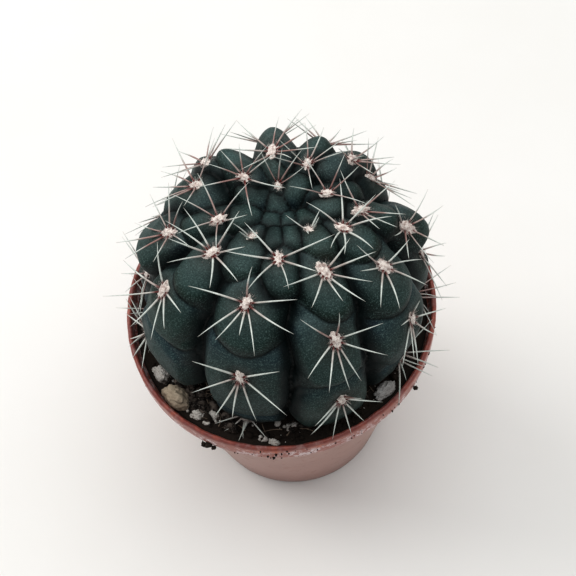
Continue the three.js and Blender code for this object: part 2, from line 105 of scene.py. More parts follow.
def join(name, pieces):
    clear_selection()
    for piece in pieces:
        piece.select_set(True)
    bpy.context.view_layer.objects.active = pieces[0]
    bpy.ops.object.join()
    pieces[0].name = name
    pieces[0].data.name = name
    return pieces[0]


def copy_of(mould, matrix):
    """A copy with its own mesh, whose place is in the mesh."""
    twin = bpy.data.objects.new(mould.name, mould.data.copy())
    twin.data.transform(matrix)
    bpy.context.collection.objects.link(twin)
    return twin


def corners(piece):
    """The places of all corners in millimetres."""
    flat = np.empty(3 * len(piece.data.vertices), np.float32)
    piece.data.vertices.foreach_get("co", flat)
    return flat.reshape(-1, 3).astype(float) / MM


def move_corners(piece, points):
    piece.data.vertices.foreach_set("co", (points * MM).astype(np.float32).ravel())
    piece.data.update()


def paint(piece, name, values):
    """Keeps one number a corner on the piece, for its material to read."""
    layer = piece.data.attributes.new(name, "FLOAT", "POINT")
    layer.data.foreach_set("value", np.asarray(values, np.float32))


def report(piece):
    low, high = corners(piece).min(0), corners(piece).max(0)
    size = " x ".join(f"{value:.1f}" for value in high - low)
    print(f"{piece.name}: {len(piece.data.polygons)} faces, {size} mm")


def finish_piece(piece, slot, *nodes):
    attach(piece, "root")
    if nodes:
        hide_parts(*nodes)
    report(piece)


# %% [markdown]
# ## Shader sums as Python sums
#
# A material is a graph of nodes. Written out node by node it is long and hard to read, so one
# small class wraps a socket and turns + - * / into Math nodes, and one method adds any other
# node. Colours and vectors go through their own nodes, because a Math node makes them grey.

# %% A class for sockets and one for finishes
class Value:
    def __init__(self, finish, socket):
        self.finish, self.socket = finish, socket

    def math(self, operation, first, second):
        return self.finish.node("ShaderNodeMath", {"operation": operation}, {0: first, 1: second})

    def __add__(self, other):
        return self.math("ADD", self, other)

    def __radd__(self, other):
        return self.math("ADD", other, self)

    def __sub__(self, other):
        return self.math("SUBTRACT", self, other)

    def __rsub__(self, other):
        return self.math("SUBTRACT", other, self)

    def __mul__(self, other):
        return self.math("MULTIPLY", self, other)

    def __rmul__(self, other):
        return self.math("MULTIPLY", other, self)

    def __truediv__(self, other):
        return self.math("DIVIDE", self, other)

    def __rtruediv__(self, other):
        return self.math("DIVIDE", other, self)


class Finish:
    def __init__(self, name, **constants):
        self.material = bpy.data.materials.new(name)
        self.material.use_nodes = True
        self.tree = self.material.node_tree
        self.shader = self.tree.nodes["Principled BSDF"]
        for socket, value in constants.items():
            self.shader.inputs[socket.replace("_", " ")].default_value = value

    def node(self, kind, settings=None, sockets=None, output=0):
        """Adds a node, sets it up, fills its sockets and gives one of its outputs."""
        node = self.tree.nodes.new(kind)
        for name, value in (settings or {}).items():
            setattr(node, name, value)
        for name, value in (sockets or {}).items():
            self.fill(node.inputs[name], value)
        return Value(self, node.outputs[output])

    def fill(self, socket, value):
        if isinstance(value, Value):
            self.tree.links.new(value.socket, socket)
        elif socket.type == "RGBA":
            socket.default_value = (*value, 1)
        else:
            socket.default_value = value

    def links(self, **values):
        for name, value in values.items():
            self.fill(self.shader.inputs[name.replace("_", " ")], value)

    def place(self):
        return self.node("ShaderNodeTexCoord", output="Object")

    def painted(self, name):
        return self.node("ShaderNodeAttribute", {"attribute_name": name}, output=2)

    def noise(self, size, detail=3.0, roughness=0.55):
        """Soft noise from 0 to 1 whose blotches are about this size in millimetres."""
        sockets = {"Vector": self.place(), "Scale": 1 / (size * MM)}
        sockets.update(Detail=detail, Roughness=roughness)
        return self.node("ShaderNodeTexNoise", {}, sockets)

    def cells(self, size):
        """The distance from the middle of cells of about this size in millimetres."""
        sockets = {"Vector": self.place(), "Scale": 1 / (size * MM)}
        return self.node("ShaderNodeTexVoronoi", {"feature": "F1"}, sockets)

    def step(self, value, start, end, low=0.0, high=1.0):
        """Goes smoothly from low to high while the value goes from start to end."""
        sockets = {"Value": value, "From Min": start, "From Max": end}
        sockets.update({"To Min": low, "To Max": high})
        return self.node("ShaderNodeMapRange", {"interpolation_type": "SMOOTHSTEP"}, sockets)

    def mix(self, share, low, high):
        """Mixes two colours, which are sockets 6 and 7 of the node, into its output 2."""
        return self.node("ShaderNodeMix", {"data_type": "RGBA"}, {0: share, 6: low, 7: high}, 2)

    def layered(self, colour, *layers):
        """Lays colours over one another like coats of paint, each by its own mask."""
        for mask, over in layers:
            colour = self.mix(mask, colour, over)
        return colour

    def bump(self, height, strength, distance):
        sockets = {"Strength": strength, "Distance": distance * MM, "Height": height}
        return self.node("ShaderNodeBump", {}, sockets)


def dress(piece, finish, angle=None):
    piece.data.materials.clear()
    piece.data.materials.append(finish.material)
    pick(piece)
    if angle is None:
        bpy.ops.object.shade_smooth()
    else:
        bpy.ops.object.shade_smooth_by_angle(angle=math.radians(angle))


# %% [markdown]
# ## Camera
#
# A small plant is looked at from close above: the camera stands 200 mm away, 63 degrees over the
# horizon, and is rolled a little, so the pot leans to the left. Its three axes are worked out as
# vectors, which leaves no doubt about the order of turns.

# %% Camera
camera_height = math.radians(62.82)
camera_roll = math.radians(-7.36)
camera_distance = 200
camera_target = Vector((1.73, 2.56, 48))

forward = Vector((0, math.cos(camera_height), -math.sin(camera_height)))
level = Vector((1, 0, 0))
upward = level.cross(forward)
camera_x = level * math.cos(camera_roll) + upward * math.sin(camera_roll)
camera_y = upward * math.cos(camera_roll) - level * math.sin(camera_roll)

camera = bpy.data.objects.new("camera", bpy.data.cameras.new("camera"))
camera.data.sensor_width = 36
camera.data.lens = 70.1
camera.data.clip_start = 0.01
camera.matrix_world = Matrix((camera_x, camera_y, -forward)).transposed().to_4x4()
camera.location = (camera_target - forward * camera_distance) * MM
bpy.context.collection.objects.link(camera)
bpy.context.scene.camera = camera
print("camera at", [round(value, 3) for value in camera.location])

# %% [markdown]
# ## Floor and light
#
# The plant stands on a pale table near a window. One soft light stands at the upper left, a
# larger one hangs overhead, and a bright surrounding fills the rest. Together they give pale
# gleams on the lobes and a faint shadow. Painted highlights and painted shade in the skin make
# the gleams broader and the flanks darker. A gamma below 1 deepens the dark greens, and a little
# exposure keeps the table pale.

# %% Floor and lights
floor_gap = 0.0002  # so that the pot's base and the floor don't flicker through each other
clear_selection()
bpy.ops.mesh.primitive_plane_add(size=3, location=(0, 0, -floor_gap))
floor = bpy.context.object
floor.name = "floor"

table = Finish("table", Roughness=0.7)
table_tone = table.noise(60, 4)
table.links(Base_Color=table.mix(table_tone, (0.745, 0.728, 0.69), (0.80, 0.79, 0.765)))
dress(floor, table)

surroundings = bpy.data.worlds.new("surroundings")
surroundings.use_nodes = True
sky = surroundings.node_tree.nodes["Background"]
sky.inputs["Color"].default_value = (0.93, 0.96, 1.0, 1)
sky.inputs["Strength"].default_value = 0.43
bpy.context.scene.world = surroundings
light_target = Vector((0, 0, 0.05))


def soft_light(name, place, size, power):
    """A square light that looks at the middle of the plant."""
    lamp = bpy.data.lights.new(name, "AREA")
    lamp.size = size
    lamp.energy = power
    light = bpy.data.objects.new(name, lamp)
    light.location = place
    light.rotation_mode = "QUATERNION"
    light.rotation_quaternion = (light_target - Vector(place)).to_track_quat("-Z", "Y")
    bpy.context.collection.objects.link(light)


soft_light("window", (-0.52, 0.28, 0.58), size=0.45, power=2.5)
soft_light("ceiling", (0.14, 0.10, 1.00), size=1.2, power=8.0)
view = bpy.context.scene.view_settings
view.view_transform, view.exposure, view.gamma = "Standard", 0.13, 0.80

# %% [markdown]
# ## Where every lobe sits
#
# The plant has thirteen ribs that run from a sunken crown down into the soil. Placing some fifty
# lobes by eye would be slow, and a regular pattern would look false. So each rib is one row of
# numbers, its turn round the plant and the angle of each areole from the crown down, and a rule
# fits every lobe into the room between its neighbours. Lobes that grew otherwise are nudged.

# %% The plan of the ribs
plant_x, plant_lean = 1.2, 0.05
body_radius, waist_height, body_rise, body_drop, body_fullness = 24.3, 56.5, 24.0, 18.0, 2.4
crown_dip, crown_dip_radius = 2.6, 5.0
# The angles between which a rib's own fullness fades in, as all ribs meet in the crown.
fullness_fades_in = (25, 55)

# The turn in degrees from the front, how far the rib swings aside at the crown and at the foot,
# its share of the room beside it, its fullness, and the angles of its areoles.
TURN, CROWN_SWING, FOOT_SWING, BREADTH, FULLNESS, ANGLES = range(6)
ribs = {
    "A": (-22, -70, 0, 1.3, 1.0, (12, 35, 72, 119)),
    "C": (-19, 30, 0, 1.0, 1.0, (17,)),
    "B": (14, 60, 0, 1.0, 1.0, (10, 26, 55, 90)),
    "E": (53, 40, 0, 1.2, 1.0, (20, 43, 76, 109)),
    "F": (84, 0, 0, 1.0, 1.0, (26, 51, 73, 108)),
    "G": (111, -20, 0, 1.0, 0.85, (14, 43, 76, 110)),
    "M": (128, 0, 0, 1.0, 0.84, (34, 68, 102)),
    "L": (149, 0, 0, 1.0, 0.84, (19, 48, 84, 118)),
    "K": (181, 0, 0, 1.0, 0.86, (8, 27, 57, 92)),
    "J": (218, 0, 0, 1.0, 0.88, (17, 42, 78, 112)),
    "I": (240, 0, 0, 1.0, 0.92, (35, 72, 106)),
    "H": (268, 10, 0, 1.0, 1.05, (20, 45, 77, 112)),
    "D": (289, 35, -6, 1.8, 1.06, (27, 58, 92)),
}
# The ribs at the back, whose lobes are ridged.
rear_ribs = "FGMLKJIH"
# The turn and the angle of the small lobes that fill the crown.
crown_lobes = (
    (-160, 3), (-60, 2.6), (35, 2.2), (64, 6), (-23, 8),
    (12, 7), (148, 7), (-135, 9), (-87, 10), (86, 12),
)
print(len(ribs), "ribs,", sum(len(row[ANGLES]) for row in ribs.values()), "areoles")


# %% The plant's rounded outline
def unit(vector):
    return vector / np.linalg.norm(vector)


def smooth_step(value, start, end):
    share = min(max((value - start) / (end - start), 0.0), 1.0)
    return share * share * (3 - 2 * share)


def fullness_at(turn):
    """The fullness towards a turn, mixed from the ribs on both sides of it."""
    rows = list(ribs.values())
    starts = [(row[TURN] - rows[0][TURN]) % 360 for row in rows]
    seen = (turn - rows[0][TURN]) % 360
    index = max(i for i, start in enumerate(starts) if start <= seen)
    after = rows[(index + 1) % len(rows)]
    share = (seen - starts[index]) / ((after[TURN] - rows[index][TURN]) % 360)
    return rows[index][FULLNESS] * (1 - share) + after[FULLNESS] * share


def outline(angle, turn=0.0):
    """Radius and height of the outline at an angle from the crown down."""
    sine, cosine = math.sin(math.radians(angle)), math.cos(math.radians(angle))
    power = 2 / body_fullness
    fullness = 1 + (fullness_at(turn) - 1) * smooth_step(angle, *fullness_fades_in)
    radius = body_radius * fullness * abs(sine) ** power
    rise = body_rise if cosine > 0 else -body_drop
    dip = crown_dip * math.exp(-((radius / crown_dip_radius) ** 2))
    return radius, waist_height + rise * abs(cosine) ** power - dip


def place_on_outline(turn, angle):
    """The point there, and the directions down the rib, across it and straight out."""
    outward = np.array((math.sin(math.radians(turn)), -math.cos(math.radians(turn)), 0.0))
    across = np.array((math.cos(math.radians(turn)), math.sin(math.radians(turn)), 0.0))
    radius, height = outline(angle, turn)
    radius_above, height_above = outline(max(angle - 1, 0.5), turn)
    radius_below, height_below = outline(angle + 1, turn)
    slope = np.array((0, 0, height_below - height_above))
    down = unit(outward * (radius_below - radius_above) + slope)
    middle = np.array((plant_x + plant_lean * (height - waist_height), 0.0, height))
    return middle + outward * radius, down, across, np.cross(down, across)


# %% How much room a lobe has
swing_reach, foot_swing_angles = 7, (60, 95)
first_step, step_growth, longest_step = 10, 0.55, 36
rib_goes_on = 0.8


def way(start, end):
    """Millimetres over the flesh from one angle to another."""
    (radius, height), (end_radius, end_height) = outline(start), outline(end)
    return math.hypot(end_radius - radius, end_height - height)


def rib_turn(rib, angle):
    turn, swing, foot = ribs[rib][:BREADTH]
    crown_share = math.exp(-way(0.5, angle) / swing_reach)
    return turn + swing * crown_share + foot * smooth_step(angle, *foot_swing_angles)


def step_below(angle):
    """The usual step from an areole to the next one, which grows down the rib."""
    return min(first_step + step_growth * angle, longest_step)


def room_beside(rib, angle, sign):
    """Degrees to the border with the next rib on one side."""
    own = rib_turn(rib, angle)
    nearest, share = 180.0, 0.5
    for other, row in ribs.items():
        end = row[ANGLES][-1] + rib_goes_on * step_below(row[ANGLES][-1])
        apart = (sign * (rib_turn(other, angle) - own)) % 360
        if other != rib and end > angle and apart < nearest:
            nearest, share = apart, ribs[rib][BREADTH] / (ribs[rib][BREADTH] + row[BREADTH])
    return nearest * share


def lobe_at(turn, angle, half, tilt, proud):
    """A lobe on the outline, whose crest stands this far out of it."""
    point, down, across, out = place_on_outline(turn, angle)
    down = down * math.cos(tilt) + out * math.sin(tilt)
    centre = point + out * (proud - half[2])
    axes = np.array((across, down, np.cross(down, across)))
    return dict(centre=centre, axes=axes, half=np.array(half, float), form="round")


# %% Lobes and areoles that grew otherwise
# The shift to the right, back and up in millimetres, then how much wider and longer they are.
own_ways = {
    ("A", 1): (0, 0, 0.5, 1.0, 0.92), ("A", 2): (0.5, 0.5, 0.4, 0.98, 0.92),
    ("A", 3): (0, -0.6, 0.8, 0.9, 0.9), ("B", 1): (-0.7, 0, 0, 0.92, 1.0),
    ("B", 2): (-0.9, 0, 0, 0.92, 1.0), ("B", 3): (-0.5, -0.5, 0, 1.08, 1.0),
    ("C", 0): (-0.4, 0, 0, 1.08, 1.03), ("D", 1): (0.3, 1.0, 0.6, 0.80, 0.85),
    ("D", 2): (0.6, 0.3, 2.0, 1.0, 1.0), ("E", 2): (0, 0, 1.2, 1.0, 0.86),
    ("F", 1): (1.3, 1.4, 0, 1.0, 1.0), ("F", 2): (-0.7, 0, 0, 1.0, 1.0),
    ("G", 0): (-0.8, 0, 0.1, 0.95, 0.74), ("G", 1): (-0.5, 1.2, 0, 1.0, 1.0),
    ("M", 0): (1.6, 0.4, -0.1, 1.0, 1.0), ("L", 0): (0.3, 0, -0.5, 0.92, 1.0),
    ("L", 1): (1.2, 0, -1.4, 0.88, 1.0), ("K", 1): (0.8, 0.3, 0.9, 0.84, 1.0),
    ("K", 2): (0.6, 0, 0.5, 0.84, 1.0), ("J", 0): (0, 0.3, 1.2, 0.88, 1.0),
    ("J", 1): (-2.2, 0.2, 0.2, 0.9, 1.0), ("I", 0): (-0.6, 0.1, 0.3, 0.9, 0.82),
    ("I", 1): (-0.8, -0.8, 0, 1.0, 1.0), ("H", 1): (0.1, -0.1, 0.6, 0.97, 0.97),
    ("H", 2): (1.2, 0.3, 0, 0.9, 0.9),
}
# Degrees round the plant and down the rib that an areole sits off the middle of its lobe.
areole_ways = {
    ("A", 1): (4, 1), ("A", 3): (-2, 0), ("B", 3): (1.5, 0), ("D", 1): (0, -5), ("G", 1): (5, 4),
    ("H", 1): (-1.5, -2.5), ("J", 1): (3.5, 0), ("K", 1): (0, -4), ("M", 0): (-3.5, 0),
}
print(len(own_ways), "lobes and", len(areole_ways), "areoles are nudged")

# %% The lobe that belongs to each areole
# Shares of the step to the next areole: how far the lobe reaches up, where its middle lies and
# where its width is taken.
reach_up, middle_down, width_down = 0.3, 0.2, 0.1
length_share, width_share, depth_share = 0.58, 0.96, 0.9
most_width, least_width_share, most_depth = 8.0, 0.68, 7.5
lobe_tilt, lobe_proud = math.radians(9), 0.5
shouldered, shoulder_angle = (("I", 0), ("H", 1)), 50
crown_lobe_radius, crown_lobe_growth, crown_lobe_length = 2.0, 0.13, 1.2


def form_of(rib, index):
    if (rib, index) in shouldered:
        return "shoulder"
    if rib in rear_ribs:
        return "ridge"
    return "shoulder" if ribs[rib][ANGLES][index] > shoulder_angle else "round"


def rib_lobe(rib, index):
    angles = ribs[rib][ANGLES]
    angle = angles[index]
    step = angles[index + 1] - angle if index + 1 < len(angles) else step_below(angle)
    top, middle = angle - reach_up * step, angle + middle_down * step
    left, right = room_beside(rib, middle, -1), room_beside(rib, middle, 1)
    length = length_share * way(top, top + step)
    girth = outline(angle + width_down * step)[0]
    room = width_share * girth * math.sin(math.radians((left + right) / 2))
    width = max(min(room, most_width), least_width_share * length)
    depth = depth_share * min(width, length, most_depth)
    own = rib_turn(rib, angle)
    half = (width, length, depth)
    lobe = lobe_at(own + (right - left) / 2, middle, half, lobe_tilt, lobe_proud)
    aside, along = areole_ways.get((rib, index), (0, 0))
    lobe.update(areole=(own + aside, angle + along), name=(rib, index), form=form_of(rib, index))
    *shift, wider, longer = own_ways.get((rib, index), (0, 0, 0, 1, 1))
    lobe["centre"] = lobe["centre"] + shift
    lobe["half"] *= (wider, longer, 1)
    return lobe


def crown_lobe(turn, angle):
    radius = crown_lobe_radius + crown_lobe_growth * outline(angle)[0]
    return lobe_at(turn, angle, (radius, crown_lobe_length * radius, radius), 0, lobe_proud)


rib_lobes = [rib_lobe(rib, index) for rib in ribs for index in range(len(ribs[rib][ANGLES]))]
lobes = rib_lobes + [crown_lobe(turn, angle) for turn, angle in crown_lobes]
print(len(lobes), "lobes, the widest", round(2 * max(lobe["half"][0] for lobe in lobes), 1), "mm")

# %% [markdown]
# ## The fleshy body
#
# The real body is one piece of flesh whose lobes swell against each other, with sharp furrows
# between them. It could be sculpted, or grown from metaballs, which blur the furrows. Here a
# slightly squared ball is modelled once and copied for each lobe. A tapered one makes the ridged
# lobes at the back, and a squarer one the heavy shoulders low on the ribs. Waists join the lobes
# of a rib, a core fills the middle, and a fine voxel remesh fuses all into one skin that keeps
# every furrow.

# %% Three lobes as moulds, copied to every place
ball_squareness, shoulder_squareness, ridge_taper = 0.10, 0.20, 1.1
clear_selection()
bpy.ops.mesh.primitive_uv_sphere_add(segments=48, ring_count=24, radius=1)
lobe_mould = bpy.context.object
lobe_mould.name = "lobe"
modify(lobe_mould, "CAST", cast_type="CUBOID", factor=ball_squareness)
ridge_mould = copy_of(lobe_mould, Matrix.Identity(4))
modify(
    ridge_mould, "SIMPLE_DEFORM",
    deform_method="TAPER", factor=-ridge_taper, deform_axis="Z", lock_y=True)
shoulder_mould = copy_of(lobe_mould, Matrix.Identity(4))
modify(shoulder_mould, "CAST", cast_type="CUBOID", factor=shoulder_squareness)


def matrix_of(centre, axes, half):
    """Puts a mould of radius 1 at a place in millimetres, along three axes."""
    matrix = Matrix.Identity(4)
    for column in range(3):
        for row in range(3):
            matrix[row][column] = axes[column][row] * half[column] * MM
    for row in range(3):
        matrix[row][3] = centre[row] * MM
    return matrix


def placed(mould, lobe):
    return copy_of(mould, matrix_of(lobe["centre"], lobe["axes"], lobe["half"]))


moulds = {"round": lobe_mould, "ridge": ridge_mould, "shoulder": shoulder_mould}
copies = [placed(moulds[lobe["form"]], lobe) for lobe in lobes]
print(len(copies), "lobes copied")

# %% Flesh between the lobes of one rib
# Below a chin the rib goes on, a little lower than its lobes, so only the middle of it is creased.
# Each row is a waist's width, length and depth as shares of its lobes and of the way between them.
waist_shares = {"ridge": (0.70, 0.55, 0.85), "round": (0.97, 0.60, 0.94)}
waist_shares["shoulder"] = waist_shares["round"]
waist_above, waist_below = 0.42, 0.58


def waist_between(above, below):
    width, length, depth = waist_shares[above["form"]]
    half = depth * np.minimum(above["half"], below["half"])
    half[0] = width * max(above["half"][0], below["half"][0])
    half[1] = length * np.linalg.norm(below["centre"] - above["centre"])
    down = unit(below["centre"] - above["centre"])
    across = unit(np.cross(down, above["axes"][2] + below["axes"][2]))
    axes = np.array((across, down, np.cross(across, down)))
    centre = waist_above * above["centre"] + waist_below * below["centre"]
    return dict(centre=centre, axes=axes, half=half, form="shoulder", name=above["name"])


waists = []
for above, below in zip(rib_lobes, rib_lobes[1:]):
    if above["name"][0] == below["name"][0]:
        waists.append(waist_between(above, below))
copies += [placed(shoulder_mould, waist) for waist in waists]
print(len(waists), "waists")

# %% The core and the neck in the soil
core_radius, core_rise, core_drop = 19.8, 20.0, 16.0
neck_top, neck_top_radius, neck_foot, neck_foot_radius = 46.0, 15.84, 36.0, 12.6

core = copy_of(lobe_mould, Matrix.Identity(4))
points = corners(core) * MM
turns = np.degrees(np.arctan2(points[:, 0], -points[:, 1]))
fullness = np.array([fullness_at(turn) for turn in turns])
points[:, :2] *= (core_radius * fullness)[:, None]
points[:, 2] *= np.where(points[:, 2] > 0, core_rise, core_drop)
points += (plant_x, 0, waist_height)
move_corners(core, points)

clear_selection()
neck_place = (plant_x * MM, 0, (neck_top + neck_foot) / 2 * MM)
bpy.ops.mesh.primitive_cone_add(
    vertices=64, radius1=neck_foot_radius * MM, radius2=neck_top_radius * MM,
    depth=(neck_top - neck_foot) * MM, location=neck_place)
neck = bpy.context.object
bpy.ops.object.transform_apply(location=True)
body = join("cactus_body", [*copies, core, neck])
for mould in moulds.values():
    bpy.data.objects.remove(mould)

# %% Fuse the lobes into one skin
voxel = 0.35
modify(body, "REMESH", mode="VOXEL", voxel_size=voxel * MM)
modify(body, "SMOOTH", factor=0.5, iterations=2)
report(body)

# %% [markdown]
# The fused skin is too clean. On the plant each areole sits in a small dimple with a soft lip,
# furrows are pinched, and the flesh between is never quite even. All are moves of the corners
# along their normals, so they are done with arrays. The same arrays tell where furrows, chins,
# crests and areoles are, and that is kept on the mesh for the material.

# %% Which lobe each corner belongs to
furrow_width, valley_width = 0.055, 0.075
# How square a lobe of each form is, as the power of a rounded box.
squareness_of = {"round": 2.3, "ridge": 2.3, "shoulder": 2.9}
points = corners(body)


def bell(distance, width):
    """1 at no distance, fading to 0 over this width."""
    return np.exp(-((distance / width) ** 2))


def lobe_sizes(lobe):
    """How deep in a lobe each corner lies, below 1 inside, and where along it and how high."""
    local = (points - lobe["centre"]) @ lobe["axes"].T / lobe["half"]
    if lobe["form"] == "ridge":
        local[:, 0] /= np.clip(1 - ridge_taper / 2 * local[:, 2], 0.4, 1.6)
    power = squareness_of[lobe["form"]]
    return (np.abs(local) ** power).sum(1) ** (1 / power), local[:, 1], local[:, 2]


sizes = np.empty((len(lobes), len(points)))
chins, heights = np.empty_like(sizes), np.empty_like(sizes)
for index, lobe in enumerate(lobes):
    sizes[index], chins[index], heights[index] = lobe_sizes(lobe)
order = np.argsort(sizes, axis=0)
corner_numbers = np.arange(len(points))
own_lobe = order[0]
to_next_lobe = sizes[order[1], corner_numbers] - sizes[own_lobe, corner_numbers]
chin = np.clip(chins[own_lobe, corner_numbers], -1, 1)
top_of_lobe = np.clip(heights[own_lobe, corner_numbers], -1, 1)
furrow = np.exp(-to_next_lobe / furrow_width) * np.clip((top_of_lobe + 0.1) / 0.5, 0, 1)

# %% The valleys between ribs
# A crown lobe has no name and counts as a rib of its own.
by_rib = {}
for index, lobe in enumerate(lobes):
    rib = lobe["name"][0] if "name" in lobe else str(index)
    by_rib[rib] = np.minimum(by_rib.get(rib, 99), sizes[index])
for waist in waists:
    by_rib[waist["name"][0]] = np.minimum(by_rib[waist["name"][0]], lobe_sizes(waist)[0])
nearest, second = np.partition(np.array(list(by_rib.values())), 1, axis=0)[:2]
to_next_rib = second - nearest
valley = bell(to_next_rib, valley_width)
for name, mask in (("furrows", furrow), ("valleys", valley)):
    print("in", name, round(float((mask > 0.5).mean()), 2))

# %% Seats of the areoles
# An areole on a steep flank still looks up a little, and young ones near the crown are smaller.
least_upward, upward_pull = 0.1, 1.5
youngest_size, full_grown_angles = 0.6, (6, 28)


def seat_of(lobe):
    """The areole's point on the lobe, its normal, and the ways sideways and down."""
    point, down = place_on_outline(*lobe["areole"])[:2]
    local = lobe["axes"] @ (point - lobe["centre"]) / lobe["half"]
    power = squareness_of[lobe["form"]]
    local /= (np.abs(local) ** power).sum() ** (1 / power)
    point = lobe["centre"] + (local * lobe["half"]) @ lobe["axes"]
    steep = np.sign(local) * np.abs(local) ** (power - 1) / lobe["half"]
    normal = unit(steep @ lobe["axes"])
    normal = unit(normal + np.array((0, 0, upward_pull * max(least_upward - normal[2], 0))))
    side = unit(np.cross(normal, down))
    grown = smooth_step(lobe["areole"][1], *full_grown_angles)
    size = youngest_size + (1 - youngest_size) * grown
    down = np.cross(side, normal)
    return dict(point=point, normal=normal, side=side, down=down, name=lobe["name"], size=size)


seats = [seat_of(lobe) for lobe in rib_lobes]
nearest_seat = np.full(len(points), 99.0)
for seat in seats:
    distance = np.linalg.norm(points - seat["point"], axis=1) / seat["size"]
    nearest_seat = np.minimum(nearest_seat, distance)
print(len(seats), "areoles")

# %% Dimples and uneven flesh
dimple_depth, dimple_width = 0.55, 2.0
lip_height, lip_distance, lip_width = 0.18, 3.1, 1.0
furrow_pinch, valley_pinch = 0.30, 0.5
usual_half_width = 7


def unevenness(places, size, seed):
    """Noise from -1 to 1 at each place, with swellings of about this size in millimetres."""
    shift = Vector((seed, 2.3 * seed, 0.7 * seed))
    return np.array([soft_noise.noise(Vector(place / size) + shift) for place in places])


normals = np.empty(3 * len(points), np.float32)
body.data.vertices.foreach_get("normal", normals)
normals = normals.reshape(-1, 3)
dimple = -dimple_depth * bell(nearest_seat, dimple_width)
dimple = dimple + lip_height * bell(nearest_seat - lip_distance, lip_width)
swelling = 0.22 * unevenness(points, 5.0, 3) + 0.05 * unevenness(points, 1.3, 5)
lobe_scale = np.array([min(lobe["half"][:2]) / usual_half_width for lobe in lobes])[own_lobe]
pinch = furrow_pinch * furrow**2 + valley_pinch * valley**2
crease = -pinch * np.clip(lobe_scale, 0.35, 1)
points = points + normals * (dimple + swelling + crease)[:, None]
move_corners(body, points)
modify(body, "SMOOTH", factor=0.5, iterations=2)

# %% Masks for the skin
hollow_width, flush_width = 0.32, 3.2
random = np.random.default_rng(11)
tone = random.uniform(-1, 1, len(lobes))
masks = {
    # The furrow mask places painted shade in the furrows and the valleys between ribs.
    "furrow": np.maximum(furrow, valley),
    # The chin mask also places a painted bluish sheen at the head of each lobe.
    "chin": chin,
    # The top and upward masks place painted highlights and painted shade on the lobes.
    "top": top_of_lobe,
    "upward": normals[:, 2],
    # Painted shade in the hollows beside the valleys between ribs.
    "hollow": bell(to_next_rib, hollow_width) * np.clip(lobe_scale, 0.5, 1),
    "areole": bell(nearest_seat, flush_width),
    "tone": tone[own_lobe] * (1 - furrow),
}
for name, mask in masks.items():
    paint(body, name, mask)
body_tree = BVHTree.FromObject(body, bpy.context.evaluated_depsgraph_get())
print("masks on the body:", *masks)

# %% [markdown]
# ## Skin of the plant
#
# The skin is matt and very dark blue-green. A painted bluish sheen lies at the head of a lobe,
# painted highlights make crests that look up paler, and painted shade darkens the flanks and
# makes the furrows and the hollows beside them near black. The skin is flushed with brown round
# the areoles, and close by it is finely grained with pale dots. Each of these is a mask, and
# every mask lays one more coat of colour over those below it.

# %% Skin material
skin = Finish("plant_skin", Specular_IOR_Level=0.15, Sheen_Weight=0.02, Sheen_Roughness=0.4)
skin_blotches = skin.noise(6, 4)
skin_grain = skin.cells(0.36)
skin_dots = skin.step(skin_grain, 0.10, 0.45, 1, 0)
skin_fine = skin.noise(0.5, 3, 0.7)
skin_pores = skin.noise(0.22, 2, 0.8)

on_skin = {name: skin.painted(name) for name in masks}
green = skin.layered(
    skin.mix(skin_blotches, (0.0058, 0.0180, 0.0148), (0.0120, 0.0340, 0.0285)),
    # A painted bluish sheen at the head of a lobe, and leaf green on its chin.
    (skin.step(on_skin["chin"], -0.1, -0.8) * 0.75, (0.019, 0.036, 0.055)),
    (skin.step(on_skin["chin"], 0.2, 0.9) * 0.4, (0.014, 0.038, 0.024)),
    # Painted highlights on crests and what looks up, painted shade on flanks and what looks aside.
    (skin.step(on_skin["top"], 0.50, 1.0) * 0.55, (0.050, 0.086, 0.080)),
    (skin.step(on_skin["top"], 0.80, 0.10) * 0.75, (0.004, 0.010, 0.009)),
    (skin.step(on_skin["upward"], 0.50, 1.0) * 0.6, (0.068, 0.110, 0.105)),
    (skin.step(on_skin["upward"], 0.50, -0.2) * 0.75, (0.0055, 0.0135, 0.0135)),
    # Some lobes are a little greener than others.
    (skin.step(on_skin["tone"], 0.0, 1.0) * 0.3, (0.022, 0.048, 0.033)),
    # Pale dots, and a fine grain of pale and dark pores.
    (skin_dots * skin.step(skin_fine, 0.38, 0.60) * 0.6, (0.135, 0.205, 0.190)),
    (skin.step(skin_pores, 0.53, 0.68) * 0.65, (0.122, 0.190, 0.178)),
    (skin.step(skin_pores, 0.48, 0.30) * 0.5, (0.004, 0.010, 0.009)),
    # The brown flush, then painted shade in the hollows between ribs and in the furrows.
    (on_skin["areole"] * 0.45, (0.055, 0.036, 0.028)),
    (skin.step(on_skin["hollow"], 0.0, 0.72) * 0.92, (0.0035, 0.0080, 0.0085)),
    (skin.step(on_skin["furrow"], 0.20, 0.90) * 0.93, (0.0016, 0.0040, 0.0038)),
)
skin_height = skin_dots * 0.6 + skin_fine * 0.4
skin.links(
    Base_Color=green,
    Roughness=skin.step(skin_blotches, 0.3, 0.7, 0.46, 0.58),
    Normal=skin.bump(skin_height, 0.5, 0.06),
)
dress(body, skin)
finish_piece(body, "plant", "cactus")

# %% [markdown]
# ## Areole wool
#
# An areole is an oval cushion of short cream felt, knobbly where the spines break through. One
# cushion is shaped from a ball with two cloudy displacements and copied to each seat, turned and
# sized a little differently. Short hairs are thin cones of real mesh, because hair curves don't
# survive the export.

# %% One cushion as a mould
def cloud(name, size):
    texture = bpy.data.textures.new(name, "CLOUDS")
    texture.noise_scale = size
    return texture


clear_selection()
bpy.ops.mesh.primitive_ico_sphere_add(subdivisions=4, radius=1)
cushion = bpy.context.object
cushion.name = "cushion"
modify(cushion, "DISPLACE", texture=cloud("knobs", 0.42), strength=0.75, mid_level=0.5)
modify(cushion, "DISPLACE", texture=cloud("felt", 0.13), strength=0.28, mid_level=0.5)


def settled(seat):
    """The seat's point moved onto the finished skin."""
    start = Vector((seat["point"] + 3 * seat["normal"]) * MM)
    hit = body_tree.ray_cast(start, Vector(-seat["normal"]), 8 * MM)[0]
    return np.array(hit) / MM if hit else seat["point"]


